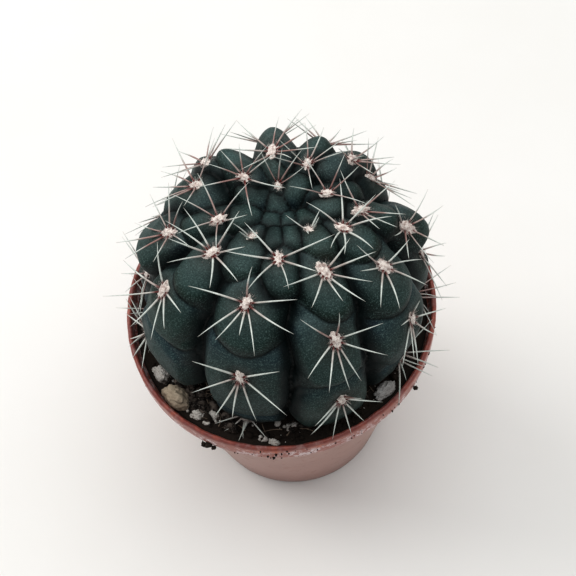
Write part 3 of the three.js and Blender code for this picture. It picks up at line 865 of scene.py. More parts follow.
cushion_half = np.array((0.88, 1.62, 0.62))
random = np.random.default_rng(21)
wool_copies = []
for seat in seats:
    seat["skin"] = settled(seat)
    half = cushion_half * seat["size"] * random.uniform(0.9, 1.12)
    seat["twist"] = random.uniform(-0.35, 0.35)
    turn = seat["twist"] + (math.pi if random.random() < 0.5 else 0)
    side = math.cos(turn) * seat["side"] + math.sin(turn) * seat["down"]
    down = np.cross(seat["normal"], side)
    axes = np.array((side, down, seat["normal"]))
    centre = seat["skin"] - 0.05 * seat["normal"]
    wool_copies.append(copy_of(cushion, matrix_of(centre, axes, half)))
bpy.data.objects.remove(cushion)
wool = join("areole_wool", wool_copies)
print(len(wool_copies), "cushions")

# %% Hairs of the wool
def unit_cone(sides, tip):
    """A cone of length 1 and radius 1 that stands on the origin."""
    clear_selection()
    bpy.ops.mesh.primitive_cone_add(
        vertices=sides, radius1=1, radius2=tip, depth=1, location=(0, 0, 0.5))
    bpy.ops.object.transform_apply(location=True)
    return bpy.context.object


hair_mould = unit_cone(3, 0.15)
hair_mould.name = "hair"
hairs_per_areole, hair_radius = 90, 0.024


def axes_along(heading):
    """Three axes of which the last is the heading."""
    helper = np.array((0, 0, 1.0)) if abs(heading[2]) < 0.9 else np.array((1.0, 0, 0))
    side = unit(np.cross(helper, heading))
    return np.array((side, np.cross(heading, side), heading))


hair_copies = []
for seat in seats:
    for _ in range(hairs_per_areole):
        angle, spread = random.uniform(0, 2 * math.pi), math.sqrt(random.random())
        turn = angle + seat["twist"]
        flat = math.cos(turn) * seat["side"] + math.sin(turn) * seat["down"]
        stretch = 1 + 0.8 * abs(math.sin(angle))
        root = seat["skin"] + flat * spread * stretch * 0.84 * seat["size"]
        root = root + seat["normal"] * 0.34 * (1 - 0.6 * spread**2) * seat["size"]
        heading = unit(seat["normal"] * random.uniform(0.5, 1.2) + flat * spread * 1.1)
        length = random.uniform(0.4, 1.05) * seat["size"]
        matrix = matrix_of(root, axes_along(heading), (hair_radius, hair_radius, length))
        hair_copies.append(copy_of(hair_mould, matrix))
bpy.data.objects.remove(hair_mould)
wool = join("areole_wool", [wool, *hair_copies])
print(len(hair_copies), "hairs")

# %% Wool material
felt = Finish("areole_felt", Sheen_Weight=0.4, Sheen_Roughness=0.6, Specular_IOR_Level=0.2)
felt_patches = felt.noise(0.7, 4)
felt_fibres = felt.noise(0.12, 3, 0.7)
felt_colour = felt.mix(felt.step(felt_patches, 0.3, 0.6), (0.28, 0.16, 0.13), (0.78, 0.71, 0.645))
felt_colour = felt.mix(felt.step(felt_fibres, 0.38, 0.62) * 0.55, felt_colour, (0.92, 0.85, 0.79))
felt.links(
    Base_Color=felt_colour,
    Roughness=felt.step(felt_patches, 0.2, 0.8, 0.85, 0.95),
    Normal=felt.bump(felt_fibres, 0.7, 0.1),
)
dress(wool, felt)
finish_piece(wool, "wool")

# %% [markdown]
# ## Spines
#
# Each areole bears three to eight stiff spines that lie close over the flesh like the hands of a
# clock. They are bone white, red or chestnut towards the root, as thick as a pin and slightly
# curved. Three moulds, nearly straight, bent and well bent, are made from a tapered cone, and
# copies are laid out by clock angles. The stars that are seen best have their own list. A spine
# that would run into the flesh, the soil or the pot is lifted, or made shorter.

# %% Three spines as moulds
def spine_mould(bend):
    """A spine of length 1 and radius 1 along Z, whose tip bends aside by so many radii."""
    spine = unit_cone(7, 0.16)
    bpy.ops.object.mode_set(mode="EDIT")
    mesh = bmesh.from_edit_mesh(spine.data)
    for edge in mesh.edges:
        edge.select_set(abs(edge.verts[0].co.z - edge.verts[1].co.z) > 0.5)
    bmesh.update_edit_mesh(spine.data)
    bpy.ops.mesh.subdivide(number_cuts=7)
    bpy.ops.object.mode_set(mode="OBJECT")
    points = corners(spine) * MM
    along = points[:, 2].copy()
    # The cone's own taper is divided out. The spine keeps its thickness for longer and has a
    # swollen root.
    taper = (1 - 0.22 * along - 0.66 * along**3) / (1 - 0.84 * along)
    points[:, :2] *= (taper + 0.35 * bell(along, 0.06))[:, None]
    points[:, 0] += bend * along**2
    move_corners(spine, points / MM)
    paint(spine, "along", along)
    paint(spine, "tint", np.zeros(len(points)))
    return spine


spine_bends = (0.8, 3.4, 6.4)
spine_moulds = [spine_mould(bend) for bend in spine_bends]
print("a spine has", len(spine_moulds[0].data.polygons), "faces")

# %% Stars of spines
# Clock angle from straight down the rib, length in millimetres and rise in degrees.
stars = {
    ("A", 0): ((15, 5.5, 60), (60, 4.5, 50), (-60, 3.5, 60)),
    ("A", 1): (
        (-170, 5.5, 40), (-95, 8, 15), (-40, 8, 35), (-15, 6.5, 35), (10, 4.5, 30),
        (35, 7.5, 25), (70, 9, 25), (110, 8, 20),
    ),
    ("A", 2): (
        (-125, 7.5, 20), (-65, 7.5, 20), (-20, 8, 25), (-5, 6.5, 25), (25, 7, 15), (80, 8.5, 25),
        (130, 7.5, 10),
    ),
    ("A", 3): ((-70, 6, 25), (-35, 6, 30), (0, 6.5, 35), (20, 7, 25), (40, 6.5, 35), (65, 6, 20)),
    ("B", 0): ((-60, 3, 50), (20, 3.5, 60), (-140, 3.5, 50), (80, 3, 50)),
    ("B", 1): (
        (-95, 7.5, 25), (-50, 7.5, 30), (-20, 7, 40), (5, 7, 25), (35, 6.5, 30), (75, 7.5, 35),
        (105, 5.5, 15),
    ),
    ("B", 2): (
        (-145, 7.5, 20), (-75, 6.5, 25), (-40, 7, 35), (-10, 7, 10), (10, 6.5, 10),
        (50, 7.5, 20), (105, 7.5, 30), (160, 6, 35),
    ),
    ("B", 3): (
        (-115, 6, 35), (-60, 6.5, 20), (-30, 7, 20), (0, 7.5, 20), (25, 6, 10), (80, 6, 25),
        (145, 5.5, 45),
    ),
    ("C", 0): (
        (-135, 7, 15), (-80, 7.5, 25), (-35, 7.5, 25), (25, 7.5, 30), (60, 7.5, 30),
        (105, 9, 25),
    ),
    ("D", 0): (
        (-170, 7, 30), (-100, 7.5, 30), (-75, 8, 20), (-40, 6.5, 50), (-10, 6.5, 40),
        (75, 7.5, 35), (100, 7.5, 15), (135, 7.5, 35),
    ),
    ("D", 1): (
        (-130, 7, 25), (-65, 7.5, 25), (-30, 9.5, 30), (20, 7, 25), (45, 7, 20), (80, 7, 25),
        (115, 6.5, 15),
    ),
    ("D", 2): (
        (-165, 7, 25), (-115, 6, 20), (-65, 7, 25), (-15, 7, 15), (20, 6.5, 15), (80, 6, 20),
        (140, 6.5, 35),
    ),
    ("E", 0): (
        (-100, 7.5, 40), (-65, 7.5, 35), (-30, 7.5, 40), (30, 7, 35), (65, 6.5, 10),
        (110, 7, 15), (165, 6, 25),
    ),
    ("E", 1): (
        (-160, 7, 35), (-130, 6, 25), (-85, 7.5, 25), (-50, 7, 30), (15, 6.5, 15), (50, 6.5, 10),
        (80, 5, 35),
    ),
    ("E", 2): (
        (-145, 6, 20), (-100, 7.5, 35), (-85, 7.5, 20), (-40, 6.5, 25), (10, 7, 15),
        (50, 7.5, 15), (175, 6, 30),
    ),
    ("F", 0): ((-80, 7.5, 40), (-50, 7.5, 35), (-15, 6, 20), (40, 6, 25), (130, 6, 30)),
    ("F", 1): (
        (-130, 7.5, 50), (-100, 7.5, 40), (-50, 6.5, 25), (-10, 5.5, 20), (40, 6, 20),
        (75, 6, 25), (165, 6.5, 30),
    ),
    ("G", 0): ((-50, 7.5, 30), (-5, 6, 40), (30, 6.5, 50), (100, 6, 25), (175, 7.5, 50)),
    ("H", 0): (
        (-145, 7, 35), (-80, 7, 25), (-40, 7.5, 15), (15, 6, 25), (80, 6, 25), (140, 7.5, 50),
    ),
    ("H", 1): (
        (-170, 7.5, 40), (-115, 7, 30), (-75, 6.5, 25), (-25, 5.5, 25), (0, 8, 25), (30, 7, 30),
        (95, 7.5, 35), (140, 7.5, 15),
    ),
    ("I", 0): (
        (-45, 9.5, 25), (-20, 7.5, 15), (15, 6.5, 20), (50, 7.5, 25), (85, 7.5, 35),
        (125, 7.5, 20), (-110, 7, 25),
    ),
    ("J", 0): (
        (-170, 7.5, 30), (-115, 6.5, 30), (-95, 6.5, 40), (-40, 4.5, 30), (-10, 5, 30),
        (20, 5.5, 35), (60, 7, 25), (145, 7.5, 30),
    ),
    ("K", 0): ((-75, 5, 35), (-40, 6, 35), (-10, 5.5, 45), (25, 6, 40)),
    ("K", 1): (
        (-150, 7.5, 40), (-125, 7.5, 20), (-90, 7.5, 25), (-45, 7, 20), (-15, 5, 20),
        (40, 7, 20), (145, 7.5, 35), (80, 7, 20),
    ),
    ("L", 0): (
        (-150, 7.5, 30), (-70, 8, 25), (-45, 6, 35), (-5, 5.5, 20), (20, 5.5, 35),
        (105, 5.5, 50), (150, 7.5, 45),
    ),
    ("M", 0): (
        (-180, 7.5, 30), (-150, 7, 40), (-125, 7.5, 20), (-80, 7.5, 30), (-40, 6, 25),
        (5, 8, 25), (50, 7.5, 15),
    ),
}
usual_star = (
    (0, 6.5, 22), (-40, 7, 24), (42, 7, 20), (-78, 7.5, 20), (74, 7.5, 24), (-118, 7, 28),
    (120, 7, 26),
)
print(len(stars), "stars of their own with", sum(len(star) for star in stars.values()), "spines")

# %% Room for a spine
soil_top, wall_radius, rim_height = 45.0, 25.4, 48.8
spine_clearance, spine_root_depth = 0.25, 0.5
root_aside, root_stretch, root_height = 0.7, 0.5, 0.25
shorter_steps, steeper_steps = (1.0, 0.8, 0.6), range(0, 64, 8)
probes = (0.35, 0.6, 0.8, 1.0)


def above_skin(point):
    """Metres from the flesh to a point in millimetres, below 0 inside."""
    skin_point, skin_normal = body_tree.find_nearest(Vector(point * MM))[:2]
    return (Vector(point * MM) - skin_point).dot(skin_normal)


def is_free(point):
    """True over the soil, inside the wall or over the rim, and outside the flesh."""
    beyond_wall = math.hypot(point[0], point[1]) > wall_radius
    if point[2] < soil_top or (beyond_wall and point[2] < rim_height):
        return False
    return above_skin(point) > spine_clearance * MM


def spine_at(seat, clock, length, rise, mould, bend_side, thickness):
    """A spine that rises more steeply, or is shorter, where it would run into something."""
    clock = math.radians(clock)
    flat = math.cos(clock) * seat["down"] + math.sin(clock) * seat["side"]
    offset = root_aside * seat["size"] * (1 + root_stretch * abs(math.cos(clock)))
    root = seat["skin"] + flat * offset + root_height * seat["normal"]
    for shorter, steeper in product(shorter_steps, steeper_steps):
        lift = math.radians(rise + steeper)
        heading = math.cos(lift) * flat + math.sin(lift) * seat["normal"]
        bend_way = unit(np.cross(heading, seat["normal"]) * bend_side - 0.6 * seat["normal"])
        across = unit(bend_way - heading * (bend_way @ heading))
        reach = length * shorter
        bend = spine_bends[mould] * thickness
        path = [root + heading * reach * t + across * bend * t * t for t in probes]
        if all(is_free(point) for point in path):
            break
    axes = np.array((across, np.cross(heading, across), heading))
    half = (thickness, thickness, reach + spine_root_depth)
    return copy_of(spine_moulds[mould], matrix_of(root - spine_root_depth * heading, axes, half))


# %% Lay out the spines of every areole
random = np.random.default_rng(31)
spine_copies = []
for seat in seats:
    known, behind = seat["name"] in stars, seat["name"][0] in rear_ribs
    for clock, length, rise in stars.get(seat["name"], usual_star):
        if not known and seat["size"] < 0.75 and random.random() < 0.35:
            continue
        clock += random.uniform(-2, 2) if known else random.uniform(-13, 13)
        length *= random.uniform(0.97, 1.03) if known else random.uniform(0.85, 1.12) * seat["size"]
        rise += random.uniform(-4, 4)
        mould = int(random.integers(0, 3))
        bend_side = random.choice((-1.0, 1.0))
        thickness = random.uniform(0.145, 0.195) * (0.75 + 0.25 * seat["size"])
        if behind:
            thickness *= 0.85
        spine = spine_at(seat, clock, length, rise, mould, bend_side, thickness)
        redness = random.uniform(0.0, 0.5) + (0.4 if abs(clock) > 140 or behind else 0)
        tint = spine.data.attributes["tint"].data
        tint.foreach_set("value", [redness] * len(tint))
        spine_copies.append(spine)
for mould in spine_moulds:
    bpy.data.objects.remove(mould)
print(len(spine_copies), "spines")
spines = join("spines", spine_copies)

# %% Spine material
horn = Finish("spine_horn", Specular_IOR_Level=0.45, Coat_Roughness=0.3)
horn_along = horn.painted("along")
horn_tint = horn.painted("tint")
horn_streaks = horn.noise(0.9, 3)
red_reach = horn.step(horn_along - horn_tint * 0.30, 0.45, 0.15)
bone = horn.layered(
    horn.mix(horn_streaks, (0.38, 0.40, 0.36), (0.84, 0.88, 0.82)),
    # Red that climbs from the root, a chestnut root and a brown tip.
    (horn_tint * red_reach * 0.85, (0.25, 0.060, 0.045)),
    (horn.step(horn_along, 0.21, 0.09), (0.13, 0.024, 0.020)),
    (horn.step(horn_along, 0.90, 1.0) * 0.4, (0.30, 0.20, 0.14)),
)
horn.links(
    Base_Color=bone,
    Roughness=horn.step(horn_streaks, 0.3, 0.7, 0.38, 0.55),
    Normal=horn.bump(horn_streaks, 0.25, 0.04),
)
dress(spines, horn)
finish_piece(spines, "spine")

# %% [markdown]
# ## The pot
#
# The pot is thin pressed plastic, terracotta red: a tapering wall, a collar that steps out at the
# top, a thin rounded lip and holes in the floor. Inside, a sloping shoulder leads from the collar
# to the wall. It is drawn up from a disc like a turned pot on a wheel, ring after ring, first up
# the outside and then down the inside. The holes are cut with a boolean, and the rim is pulled a
# little out of round, as such thin pots are.

# %% Draw a turned form up from a disc
def turned(name, rings, segments):
    """A closed form from a disc that is extruded through rings of (radius, height)."""
    clear_selection()
    (radius, height), *steps = rings
    bpy.ops.mesh.primitive_circle_add(
        vertices=segments, radius=radius * MM, fill_type="NGON", location=(0, 0, height * MM))
    form = bpy.context.object
    form.name = name
    bpy.ops.object.transform_apply(location=True)
    bpy.ops.object.mode_set(mode="EDIT")
    bpy.ops.mesh.select_all(action="SELECT")
    for next_radius, next_height in steps:
        rise = (0, 0, (next_height - height) * MM)
        bpy.ops.mesh.extrude_region_move(TRANSFORM_OT_translate={"value": rise})
        share = next_radius / radius
        bpy.ops.transform.resize(value=(share, share, 1))
        radius, height = next_radius, next_height
    bpy.ops.mesh.select_all(action="SELECT")
    bpy.ops.mesh.remove_doubles(threshold=1e-6)
    bpy.ops.mesh.normals_make_consistent(inside=False)
    bpy.ops.object.mode_set(mode="OBJECT")
    return form


def wall_steps(start, end, count):
    """Rings between two of them, so that a long wall can be pulled out of round."""
    shares = [index / count for index in range(1, count)]
    return [tuple(a + (b - a) * share for a, b in zip(start, end)) for share in shares]


# %% The pot's wall, collar and lip
# Rings of (radius, height) in millimetres.
pot_height, rim_radius = 48.0, 27.5
outer_foot, under_collar = (18.2, 0.6), (25.0, 41.9)
inner_foot, inner_shelf = (17.45, 1.5), (24.1, 42.1)
outside = [(17.65, 0.0), (18.0, 0.15), outer_foot]
outside += [*wall_steps(outer_foot, under_collar, 14), under_collar]
collar = [(26.5, 43.7), (27.15, 43.7), (27.4, 43.85)]
collar += [(rim_radius, height) for height in (44.2, 45.2, 46.2, 47.3)]
lip = [(27.42, 47.65), (27.22, 47.9), (27.0, 47.98), (26.8, 47.9), (26.66, 47.7)]
inside = [(26.6, 47.2), (26.6, 45.6), (26.56, 44.3), (26.2, 43.75), (24.4, 42.45), inner_shelf]
inside += [*wall_steps(inner_shelf, inner_foot, 14), inner_foot, (17.2, 1.25), (16.9, 1.2)]
pot = turned("pot_shell", [*outside, *collar, *lip, *inside], 240)

# %% Holes in the floor
hole_count, hole_ring, hole_radius = 6, 12.5, 2
clear_selection()
holes = []
for index in range(hole_count):
    angle = math.radians(360 / hole_count * index + 30)
    place = (hole_ring * MM * math.cos(angle), hole_ring * MM * math.sin(angle), 0.6 * MM)
    bpy.ops.mesh.primitive_cylinder_add(
        vertices=32, radius=hole_radius * MM, depth=4 * MM, location=place)
    bpy.ops.object.transform_apply(location=True)
    holes.append(bpy.context.object)
drill = join("drill", holes)
modify(pot, "BOOLEAN", operation="DIFFERENCE", object=drill, solver="EXACT")
bpy.data.objects.remove(drill)
print(hole_count, "holes of", 2 * hole_radius, "mm")

# %% Pull the rim out of round
# Waves round the rim: how high, how many and where they start. All fade out down the wall.
side_waves = ((0.005, 2, 0.6), (0.003, 3, 2.0), (0.0012, 7, 0.0))
height_waves = ((0.16, 2, -0.8), (0.07, 5, 1.0))
rim_sag = 0.1
worn_from, worn_over = 46.2, 1.2


def waves(angle, rows):
    return sum(size * np.sin(count * angle + start) for size, count, start in rows)


points = corners(pot)
angle = np.arctan2(points[:, 1], points[:, 0])
share = np.clip(points[:, 2] / pot_height, 0, 1) ** 3
points[:, :2] *= (1 + share * waves(angle, side_waves))[:, None]
points[:, 2] += share * waves(angle, height_waves) - rim_sag * share
worn = np.clip((points[:, 2] - worn_from) / worn_over, 0, 1)
for axis, seed in enumerate((21, 22, 23)):
    rough = 0.10 * unevenness(points, 1.6, seed) + 0.06 * unevenness(points, 0.6, seed)
    points[:, axis] += worn * rough
move_corners(pot, points)

# %% [markdown]
# The plastic is red on the collar and chalky pale on the wall. The lip is stained dark, lime has
# dried in a band under it, and dust, damp and soil have left their marks. The band and the two
# reds follow the height on the pot, which is read from the object's own coordinates.

# %% Pot material
plastic = Finish("terracotta_plastic", Specular_IOR_Level=0.45)
height_here = plastic.node("ShaderNodeSeparateXYZ", sockets={0: plastic.place()}, output=2) / MM
pot_blotches = plastic.noise(9, 4)
pot_dust = plastic.noise(2.6, 6, 0.7)
pot_specks = plastic.noise(0.55, 3, 0.7)
collar_mask = plastic.step(height_here, 43.2, 43.8)
lip_mask = plastic.step(height_here, 47.0, 47.7)
foot_shade = plastic.step(height_here + pot_dust * 14, 22, 5)
smudge = plastic.step(pot_dust, 0.52, 0.72)
lime_band = plastic.step(height_here, 47.4, 46.0) * collar_mask + 0.04
lime = plastic.step(pot_specks * 0.45 + pot_dust * 0.55, 0.46, 0.60) * lime_band
soil_marks = plastic.step(plastic.noise(1.1, 5, 0.65), 0.62, 0.74) * (collar_mask * 0.6 + 0.4)
red = plastic.layered(
    plastic.mix(pot_blotches, (0.28, 0.072, 0.052), (0.42, 0.135, 0.095)),
    # Orange spots are painted light shining through the thin plastic.
    (plastic.step(plastic.noise(5, 3), 0.58, 0.72) * 0.7, (0.60, 0.15, 0.06)),
    (lip_mask * plastic.step(pot_dust, 0.32, 0.56) * 0.8, (0.15, 0.026, 0.022)),
)
pale = plastic.layered(
    plastic.mix(pot_blotches, (0.36, 0.19, 0.155), (0.48, 0.295, 0.25)),
    (foot_shade * 0.45, (0.21, 0.08, 0.06)),
)
clay = plastic.layered(
    pale,
    (collar_mask * 0.85 + 0.08, red),
    (smudge * 0.35, (0.56, 0.44, 0.41)),
    (lime * 0.85, (0.80, 0.71, 0.71)),
    (soil_marks * 0.6, (0.075, 0.035, 0.028)),
)
plastic.links(
    Base_Color=clay,
    Roughness=plastic.step(smudge + lime * 2.0, 0.0, 1.0, 0.36, 0.70),
    Normal=plastic.bump(pot_dust * 0.6 + pot_specks * 0.4, 0.16, 0.12),
)
dress(pot, plastic, 40)
finish_piece(pot, "pot", "pot")

# %% [markdown]
# ## Soil
#
# Cactus soil is dark peat with crumbs, fibres and white grit. The bed itself is turned as the pot
# is, reaches out over the shoulder inside the collar and is roughened. On top lie loose crumbs,
# pale bark dust and heaps of grit, which are real mesh: one lump is shaped and copied some hundred
# times, because a bump alone would look flat this close. A few crumbs stick to the collar.

# %% The bed
soil_edge, soil_ring_step, soil_ring_count = 26.15, 0.55, 27
soil_level, ledge_radius, ledge_level = 44.0, 24.0, 44.4
soil_rings = [(17.0, 1.6), (17.35, 1.9), (23.5, 41.6), (23.6, 42.2), (26.0, 44.12)]
soil_rings += [(soil_edge - soil_ring_step * index, soil_top) for index in range(soil_ring_count)]
bed = turned("soil_bed", soil_rings, 160)


def soil_height(places):
    """Height of the uneven soil, which always covers the ledge inside the collar."""
    flat = np.column_stack((places[:, :2], np.zeros(len(places))))
    level = soil_level + 0.55 * unevenness(flat, 4.2, 9) + 0.35 * unevenness(flat, 1.5, 13)
    on_ledge = np.hypot(flat[:, 0], flat[:, 1]) > ledge_radius
    covered = np.maximum(level, ledge_level + 0.15 * unevenness(flat, 1.0, 15))
    return np.where(on_ledge, covered, level)


points = corners(bed)
top = points[:, 2] > soil_top - 0.5
points[top, 2] = soil_height(points[top])
ruffle = [unevenness(points[top], 0.9, seed) for seed in (1, 2)]
points[top, :2] += 0.12 * np.column_stack(ruffle)
move_corners(bed, points)

# %% Loose crumbs
def lump_mould(name, coarse, fine, subdivisions=2):
    """A ball of radius 1 that two cloudy displacements make knobbly."""
    clear_selection()
    bpy.ops.mesh.primitive_ico_sphere_add(subdivisions=subdivisions, radius=1)
    lump = bpy.context.object
    lump.name = name
    for kind, size, strength in (("_coarse", 0.9, coarse), ("_fine", 0.3, fine)):
        modify(lump, "DISPLACE", texture=cloud(name + kind, size), strength=strength, mid_level=0.5)
    return lump


def random_axes(random):
    return np.array(Matrix.Rotation(random.uniform(0, math.tau), 3, unit(random.normal(size=3))))


soil_inside, soil_outside, wall_inside = 15.5, 24.9, 25.3


def scatter(name, mould, count, small, large, lift, random, area=None):
    """Copies of a mould on the soil, all over it or round one place.

    The place is a turn and its spread in degrees and a radius and its spread in millimetres.
    """
    made = []
    while len(made) < count:
        turn = random.uniform(0, math.tau)
        radius = math.sqrt(random.uniform(soil_inside**2, soil_outside**2))
        if area:
            turn = math.radians(-90 + random.normal(area[0], area[1]))
            radius = min(max(random.normal(area[2], area[3]), 16), soil_outside)
        size = small * (large / small) ** (random.random() ** 2.2)
        spot = np.array((radius * math.cos(turn), radius * math.sin(turn), 0.0))
        if radius + size > wall_inside:
            continue
        spot[2] = soil_height(spot[None])[0] + lift * size
        if above_skin(spot) < -0.3 * size * MM:
            # Most of what falls inside the plant is lost, so that the rest isn't crowded.
            if not area and random.random() < 0.9:
                count -= 1
            continue
        half = size * random.uniform(0.65, 1.1, 3)
        made.append(copy_of(mould, matrix_of(spot, random_axes(random), half)))
    bpy.data.objects.remove(mould)
    return join(name, made)


# %% Crumbs, bark dust and grit
random = np.random.default_rng(41)
crumbs = scatter("soil_crumbs", lump_mould("crumb", 0.9, 0.7), 1500, 0.22, 1.0, 0.3, random)
bark_heap = (-50, 13, 22.6, 1.5)
clods = [
    scatter("bark", lump_mould("bark", 1.1, 0.8), 120, 0.35, 1.45, 0.45, random, bark_heap),
    scatter("bark", lump_mould("bark", 1.1, 0.8), 90, 0.25, 0.9, 0.5, random),
]
grit = [scatter("grit", lump_mould("grit", 0.8, 0.6), 110, 0.12, 0.42, 0.7, random)]
grit_heaps = {
    (-66, 3.5, 23.7, 0.8): 26, (-43, 5, 23.4, 0.9): 34,
    (0, 3, 21.8, 0.5): 12, (-11, 3, 24.5, 0.3): 10,
}
for heap, count in grit_heaps.items():
    grit.append(scatter("grit", lump_mould("grit", 0.8, 0.6), count, 0.25, 0.7, 0.75, random, heap))
grit = join("perlite_grit", grit)

# %% Crumbs that stick to the collar
# The turn from the front, radius, height and size of each crumb.
rim_crumbs = [
    (-33, 27.9, 44.2, 0.85), (-35, 28.0, 43.6, 0.5), (-31, 27.9, 43.9, 0.5), (50, 27.9, 44.2, 0.5),
    (-8, 27.6, 45.9, 0.28), (-11, 27.6, 44.9, 0.25), (-6, 27.6, 46.3, 0.2), (-9, 27.6, 44.4, 0.3),
]
for _ in range(70):
    turn, height = random.normal(0, 55), random.uniform(43.8, 47.3)
    rim_crumbs.append((turn, rim_radius, height, random.uniform(0.06, 0.19)))
stuck_mould = lump_mould("stuck", 1.5, 1.3)
stuck = []
for turn, radius, height, size in rim_crumbs:
    turn = math.radians(turn)
    spot = np.array((radius * math.sin(turn), -radius * math.cos(turn), height))
    half = size * random.uniform(0.6, 1.0, 3)
    stuck.append(copy_of(stuck_mould, matrix_of(spot, random_axes(random), half)))
bpy.data.objects.remove(stuck_mould)
crumbs = join("soil_crumbs", [crumbs, *stuck])
clods = join("bark_clods", clods)
print(len(rim_crumbs), "crumbs on the collar")

# %% Fibres in the soil
# Roots and straw lie flat on the soil, nearly half of them in the heap of bark.
fibre_count, heaped_fibres, fibre_radius = 110, 50, 0.11
fibre_mould = spine_mould(9.0)
fibres = []
while len(fibres) < fibre_count:
    turn, radius = random.uniform(0, math.tau), random.uniform(19, 24.4)
    if len(fibres) < heaped_fibres:
        turn = math.radians(-90 + random.normal(-48, 14))
    spot = np.array((radius * math.cos(turn), radius * math.sin(turn), 0.0))
    spot[2] = soil_height(spot[None])[0] + 0.35
    heading = unit(np.array((*random.normal(size=2), random.uniform(-0.1, 0.25))))
    length = random.uniform(1.4, 3.8)
    tip = spot + heading * length
    if math.hypot(tip[0], tip[1]) > 24.8:
        continue
    half = (fibre_radius, fibre_radius, length)
    fibres.append(copy_of(fibre_mould, matrix_of(spot, axes_along(heading), half)))
bpy.data.objects.remove(fibre_mould)
fibres = join("soil_fibres", fibres)
print(fibre_count, "fibres")

# %% Soil materials
peat = Finish("peat", Specular_IOR_Level=0.2)
peat_clods = peat.noise(1.6, 5, 0.65)
peat_fine = peat.noise(0.3, 4, 0.7)
peat_colour = peat.mix(peat_clods, (0.010, 0.0075, 0.006), (0.048, 0.035, 0.027))
peat_colour = peat.mix(peat.step(peat_fine, 0.58, 0.72) * 0.5, peat_colour, (0.11, 0.075, 0.055))
peat.links(
    Base_Color=peat_colour,
    Roughness=peat.step(peat_clods, 0.3, 0.7, 0.82, 0.96),
    Normal=peat.bump(peat_fine * 0.5 + peat_clods * 0.5, 0.8, 0.3),
)
dress(bed, peat)
dress(crumbs, peat)
finish_piece(bed, "soil", "soil")
finish_piece(crumbs, "soil")

bark = Finish("bark_and_dust", Specular_IOR_Level=0.2)
bark_broad, bark_fine = bark.noise(1.3, 4, 0.6), bark.noise(0.25, 4, 0.7)
bark_light = bark.step(bark_broad, 0.42, 0.66)
bark_colour = bark.mix(bark_light, (0.012, 0.009, 0.007), (0.15, 0.122, 0.102))
bark_colour = bark.mix(bark.step(bark_fine, 0.54, 0.7) * 0.6, bark_colour, (0.44, 0.39, 0.35))
bark.links(
    Base_Color=bark_colour,
    Roughness=bark.step(bark_broad, 0.3, 0.7, 0.82, 0.95),
    Normal=bark.bump(bark_fine * 0.6 + bark_broad * 0.4, 0.8, 0.25),
)
dress(clods, bark)
finish_piece(clods, "soil")

straw = Finish("root_fibre", Specular_IOR_Level=0.2)
straw_tone = straw.noise(2.5, 2)
straw.links(
    Base_Color=straw.mix(straw_tone, (0.07, 0.045, 0.032), (0.38, 0.30, 0.23)),
    Roughness=straw.step(straw_tone, 0.3, 0.7, 0.7, 0.85),
)
dress(fibres, straw)
finish_piece(fibres, "soil")

# %% [markdown]
# ## Loose stones
#
# A tan pebble, a grain of pumice and crumbs of perlite lie on the soil. Each starts as a ball that
# two displacements make knobbly and broken, and is set where its solid lies. The pebble leans out
# to the wall a little.

# %% Shape and place the stones
def stone(name, node, half, spin, coarse, fine, lean):
    low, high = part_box(node)
    centre = np.array((low + high) / 2) / MM
    centre = centre + lean * unit(centre * (1, 1, 0))
    turn = math.atan2(centre[0], -centre[1]) + math.radians(spin)
    along = np.array((math.cos(turn), math.sin(turn), 0))
    towards = np.array((-math.sin(turn), math.cos(turn), 0))
    lump = lump_mould(name, coarse, fine, subdivisions=5)
    spread = np.abs(corners(lump) * MM).max(0)
    matrix = matrix_of(centre, np.array((along, towards, (0, 0, 1.0))), np.array(half) / spread)
    turned_lump = copy_of(lump, matrix)
    bpy.data.objects.remove(lump)
    turned_lump.name = name
    return turned_lump


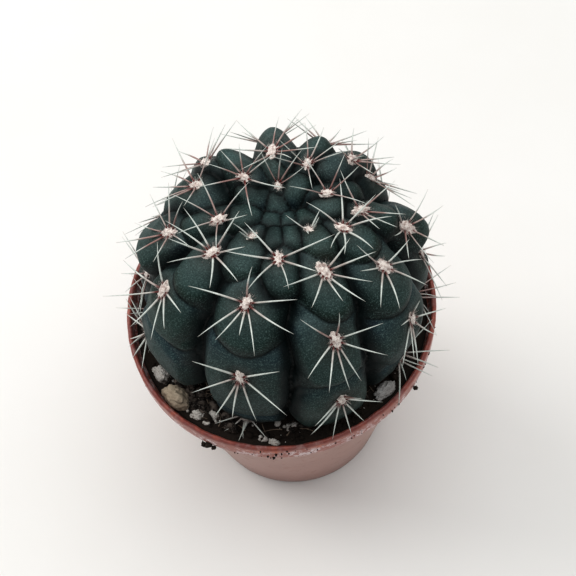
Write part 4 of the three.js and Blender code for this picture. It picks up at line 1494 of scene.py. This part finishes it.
# node: name, half size along, towards the middle and up, spin, coarse and fine knobs
stone_plan = {
    "pebble": ("tan_pebble", (3.0, 2.0, 2.6), 8, 0.55, 0.22),
    "pumice_grain": ("pumice", (2.45, 1.4, 1.4), -5, 0.6, 0.35),
}
# half size and spin of each crumb of perlite
perlite_sizes = (
    ((2.0, 1.4, 1.3), 10), ((1.3, 1.1, 1.0), 30), ((1.1, 0.9, 0.8), 0), ((1.4, 0.8, 0.8), 15),
    ((1.1, 0.7, 0.8), -10), ((1.4, 1.0, 0.9), 20), ((1.2, 1.2, 1.0), 40),
)
for number, (half, spin) in enumerate(perlite_sizes, 1):
    stone_plan[f"perlite_{number}"] = (f"perlite_grain_{number}", half, spin, 0.9, 0.5)
print(len(stone_plan), "stones")


# %% Stone materials
def stone_finish(name, dark, light, spot, size):
    rock = Finish(name, Specular_IOR_Level=0.3)
    broad, fine = rock.noise(size, 5, 0.65), rock.noise(size / 6, 4, 0.7)
    colour = rock.mix(broad, dark, light)
    colour = rock.mix(rock.step(fine, 0.56, 0.7) * 0.6, colour, spot)
    rock.links(
        Base_Color=colour,
        Roughness=rock.step(broad, 0.3, 0.7, 0.8, 0.93),
        Normal=rock.bump(fine * 0.6 + broad * 0.4, 0.7, 0.25),
    )
    return rock


# node: dark, light and spot colour and the size of the blotches
rock_of = {
    "pebble": stone_finish(
        "tan_rock", (0.30, 0.235, 0.165), (0.58, 0.50, 0.39), (0.16, 0.11, 0.075), 1.5),
    "pumice_grain": stone_finish(
        "pumice_rock", (0.36, 0.34, 0.32), (0.68, 0.67, 0.65), (0.15, 0.12, 0.10), 1.2),
}
perlite_rock = stone_finish(
    "perlite_rock", (0.45, 0.41, 0.36), (0.80, 0.78, 0.74), (0.16, 0.12, 0.09), 1.0)
pebble_lean = 0.35
for node, (name, half, spin, coarse, fine) in stone_plan.items():
    lean = pebble_lean if node == "pebble" else 0.0
    made = stone(name, node, half, spin, coarse, fine, lean)
    dress(made, rock_of.get(node, perlite_rock))
    finish_piece(made, "pebble" if node == "pebble" else "perlite", node)
dress(grit, perlite_rock)
finish_piece(grit, "perlite")

# %% [markdown]
# ## Finish
#
# The sizes of the pieces were printed as each was finished, and the selection is cleared at the
# end.

# %% Clear the selection
clear_selection()
